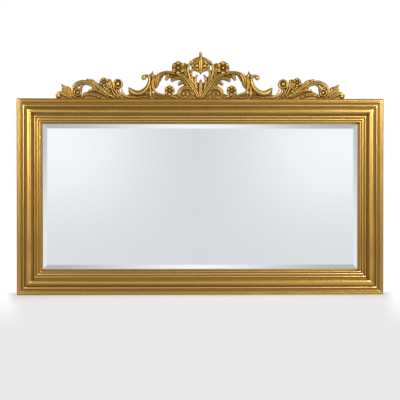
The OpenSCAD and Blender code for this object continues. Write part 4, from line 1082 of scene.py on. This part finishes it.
def floor_material():
    material, nodes, shader, place = new_material("pale_floor")
    nodes.feed(shader, Base_Color=FLOOR_COLOUR, Roughness=0.9)
    parts = nodes.add("ShaderNodeSeparateXYZ", Vector=place)
    # The camera sees the floor fade into white beside and behind the mirror, and into pale grey before it
    towards = nodes.math("MULTIPLY", parts.outputs["Y"], -1)
    ahead = nodes.remap(towards, 0.0, FADED_AHEAD)
    narrowing = nodes.math("MULTIPLY", towards, VIEW_NARROWS)
    aside = nodes.math("ADD", nodes.math("ABSOLUTE", parts.outputs["X"], 0), narrowing)
    beside = nodes.remap(aside, *FADED_ASIDE)
    around = nodes.math("MAXIMUM", beside, nodes.remap(parts.outputs["Y"], 0.0, FADED_BEHIND))
    faded = nodes.blend(around, FLOOR_GREY, nodes.remap(towards, *WHITE_TO_GREY, 1.0, FLOOR_GREY))
    plain = nodes.add("ShaderNodeEmission", Color=faded)
    far = nodes.math("MAXIMUM", ahead, around)
    ray = nodes.add("ShaderNodeLightPath").outputs
    seen = nodes.math("MULTIPLY", far, ray["Is Camera Ray"])
    mixed = nodes.mix_shaders(seen, shader.outputs[0], plain.outputs[0])
    # The mirror and the gilding see through the floor, to the studio's own levels by direction
    clear = nodes.add("ShaderNodeBsdfTransparent").outputs[0]
    output = next(n for n in material.node_tree.nodes if n.type == "OUTPUT_MATERIAL")
    nodes.feed(output, Surface=nodes.mix_shaders(ray["Is Glossy Ray"], mixed, clear))
    return material


def build_floor():
    deselect()
    bpy.ops.mesh.primitive_plane_add(size=FLOOR_SIZE, location=(0, 0, 0))
    floor = bpy.context.object
    floor.name = "studio_floor"
    floor.data.materials.append(floor_material())


def build_world():
    """White behind the mirror; for gilding and glass, a studio with pale panels and a dark ceiling."""
    world = bpy.data.worlds.new("studio")
    world.use_nodes = True
    bpy.context.scene.world = world
    nodes = Nodes(world.node_tree)
    background = world.node_tree.nodes["Background"]
    direction = nodes.add("ShaderNodeTexCoord").outputs["Generated"]
    parts = nodes.add("ShaderNodeSeparateXYZ", Vector=direction)
    height = parts.outputs["Z"]
    aside = nodes.math("ABSOLUTE", nodes.math("SUBTRACT", parts.outputs["X"], 0.015), 0)
    # Straight ahead, as the flat of the plate shows it
    lift = nodes.remap(height, -0.07, 0.05, 0.03, 0.235)
    ahead = nodes.math("MULTIPLY_ADD", nodes.remap(aside, 0.0, 0.14), lift, FRONT_LEVEL)
    # Above and below it, as the long bevels show it
    over = nodes.remap(aside, 0.0, 0.15, 0.95, 0.50)
    below = nodes.remap(height, -0.082, -0.10)
    long_bevels = nodes.math("MAXIMUM", nodes.remap(height, 0.09, 0.13), below)
    level = nodes.blend(long_bevels, ahead, over)
    # Beside it, as the short bevels show it
    beside = nodes.remap(height, -0.04, 0.07, 0.84, 0.59)
    level = nodes.blend(nodes.remap(aside, 0.20, 0.27), level, beside)
    # Further off, as only the gilding shows it
    side = nodes.remap(height, -0.06, 0.10, SIDE_LEVEL, SIDE_LEVEL_HIGH)
    level = nodes.blend(nodes.remap(aside, 0.30, 0.40), level, side)
    right = nodes.remap(parts.outputs["X"], 0.04, 0.16)
    ceiling = nodes.blend(right, CEILING_LEVEL, CEILING_LEVEL_RIGHT)
    floor = nodes.blend(right, FLOOR_LEVEL, FLOOR_LEVEL_RIGHT)
    level = nodes.blend(nodes.remap(height, 0.25, 0.33), level, ceiling)
    level = nodes.blend(nodes.remap(height, -0.27, -0.34), level, LOW_PANEL_LEVEL)
    level = nodes.blend(nodes.remap(height, -0.48, -0.72), level, floor)
    path = nodes.add("ShaderNodeLightPath")
    level = nodes.blend(path.outputs["Is Diffuse Ray"], level, DIFFUSE_LEVEL)
    nodes.feed(background, Color=nodes.blend(path.outputs["Is Camera Ray"], level, 1.0))


def area_light(name, place, size, power):
    light = bpy.data.lights.new(name, "AREA")
    light.shape = "RECTANGLE"
    light.size, light.size_y = size
    light.energy = power
    lamp = new_object(name, light)
    lamp.location = place
    lamp.rotation_euler = (LIGHTS_AIM - lamp.location).to_track_quat("-Z", "Y").to_euler()


def build_camera():
    camera = bpy.data.cameras.new("camera")
    camera.lens = CAMERA_LENS
    camera.sensor_width = SENSOR
    eye = new_object("camera", camera)
    eye.location = CAMERA
    eye.rotation_euler = (math.radians(90) + CAMERA_PITCH, 0, -CAMERA_YAW)
    bpy.context.scene.camera = eye


build_floor()
build_world()
for softbox in SOFTBOXES:
    area_light(*softbox)
build_camera()
bpy.context.scene.view_settings.view_transform = "Standard"
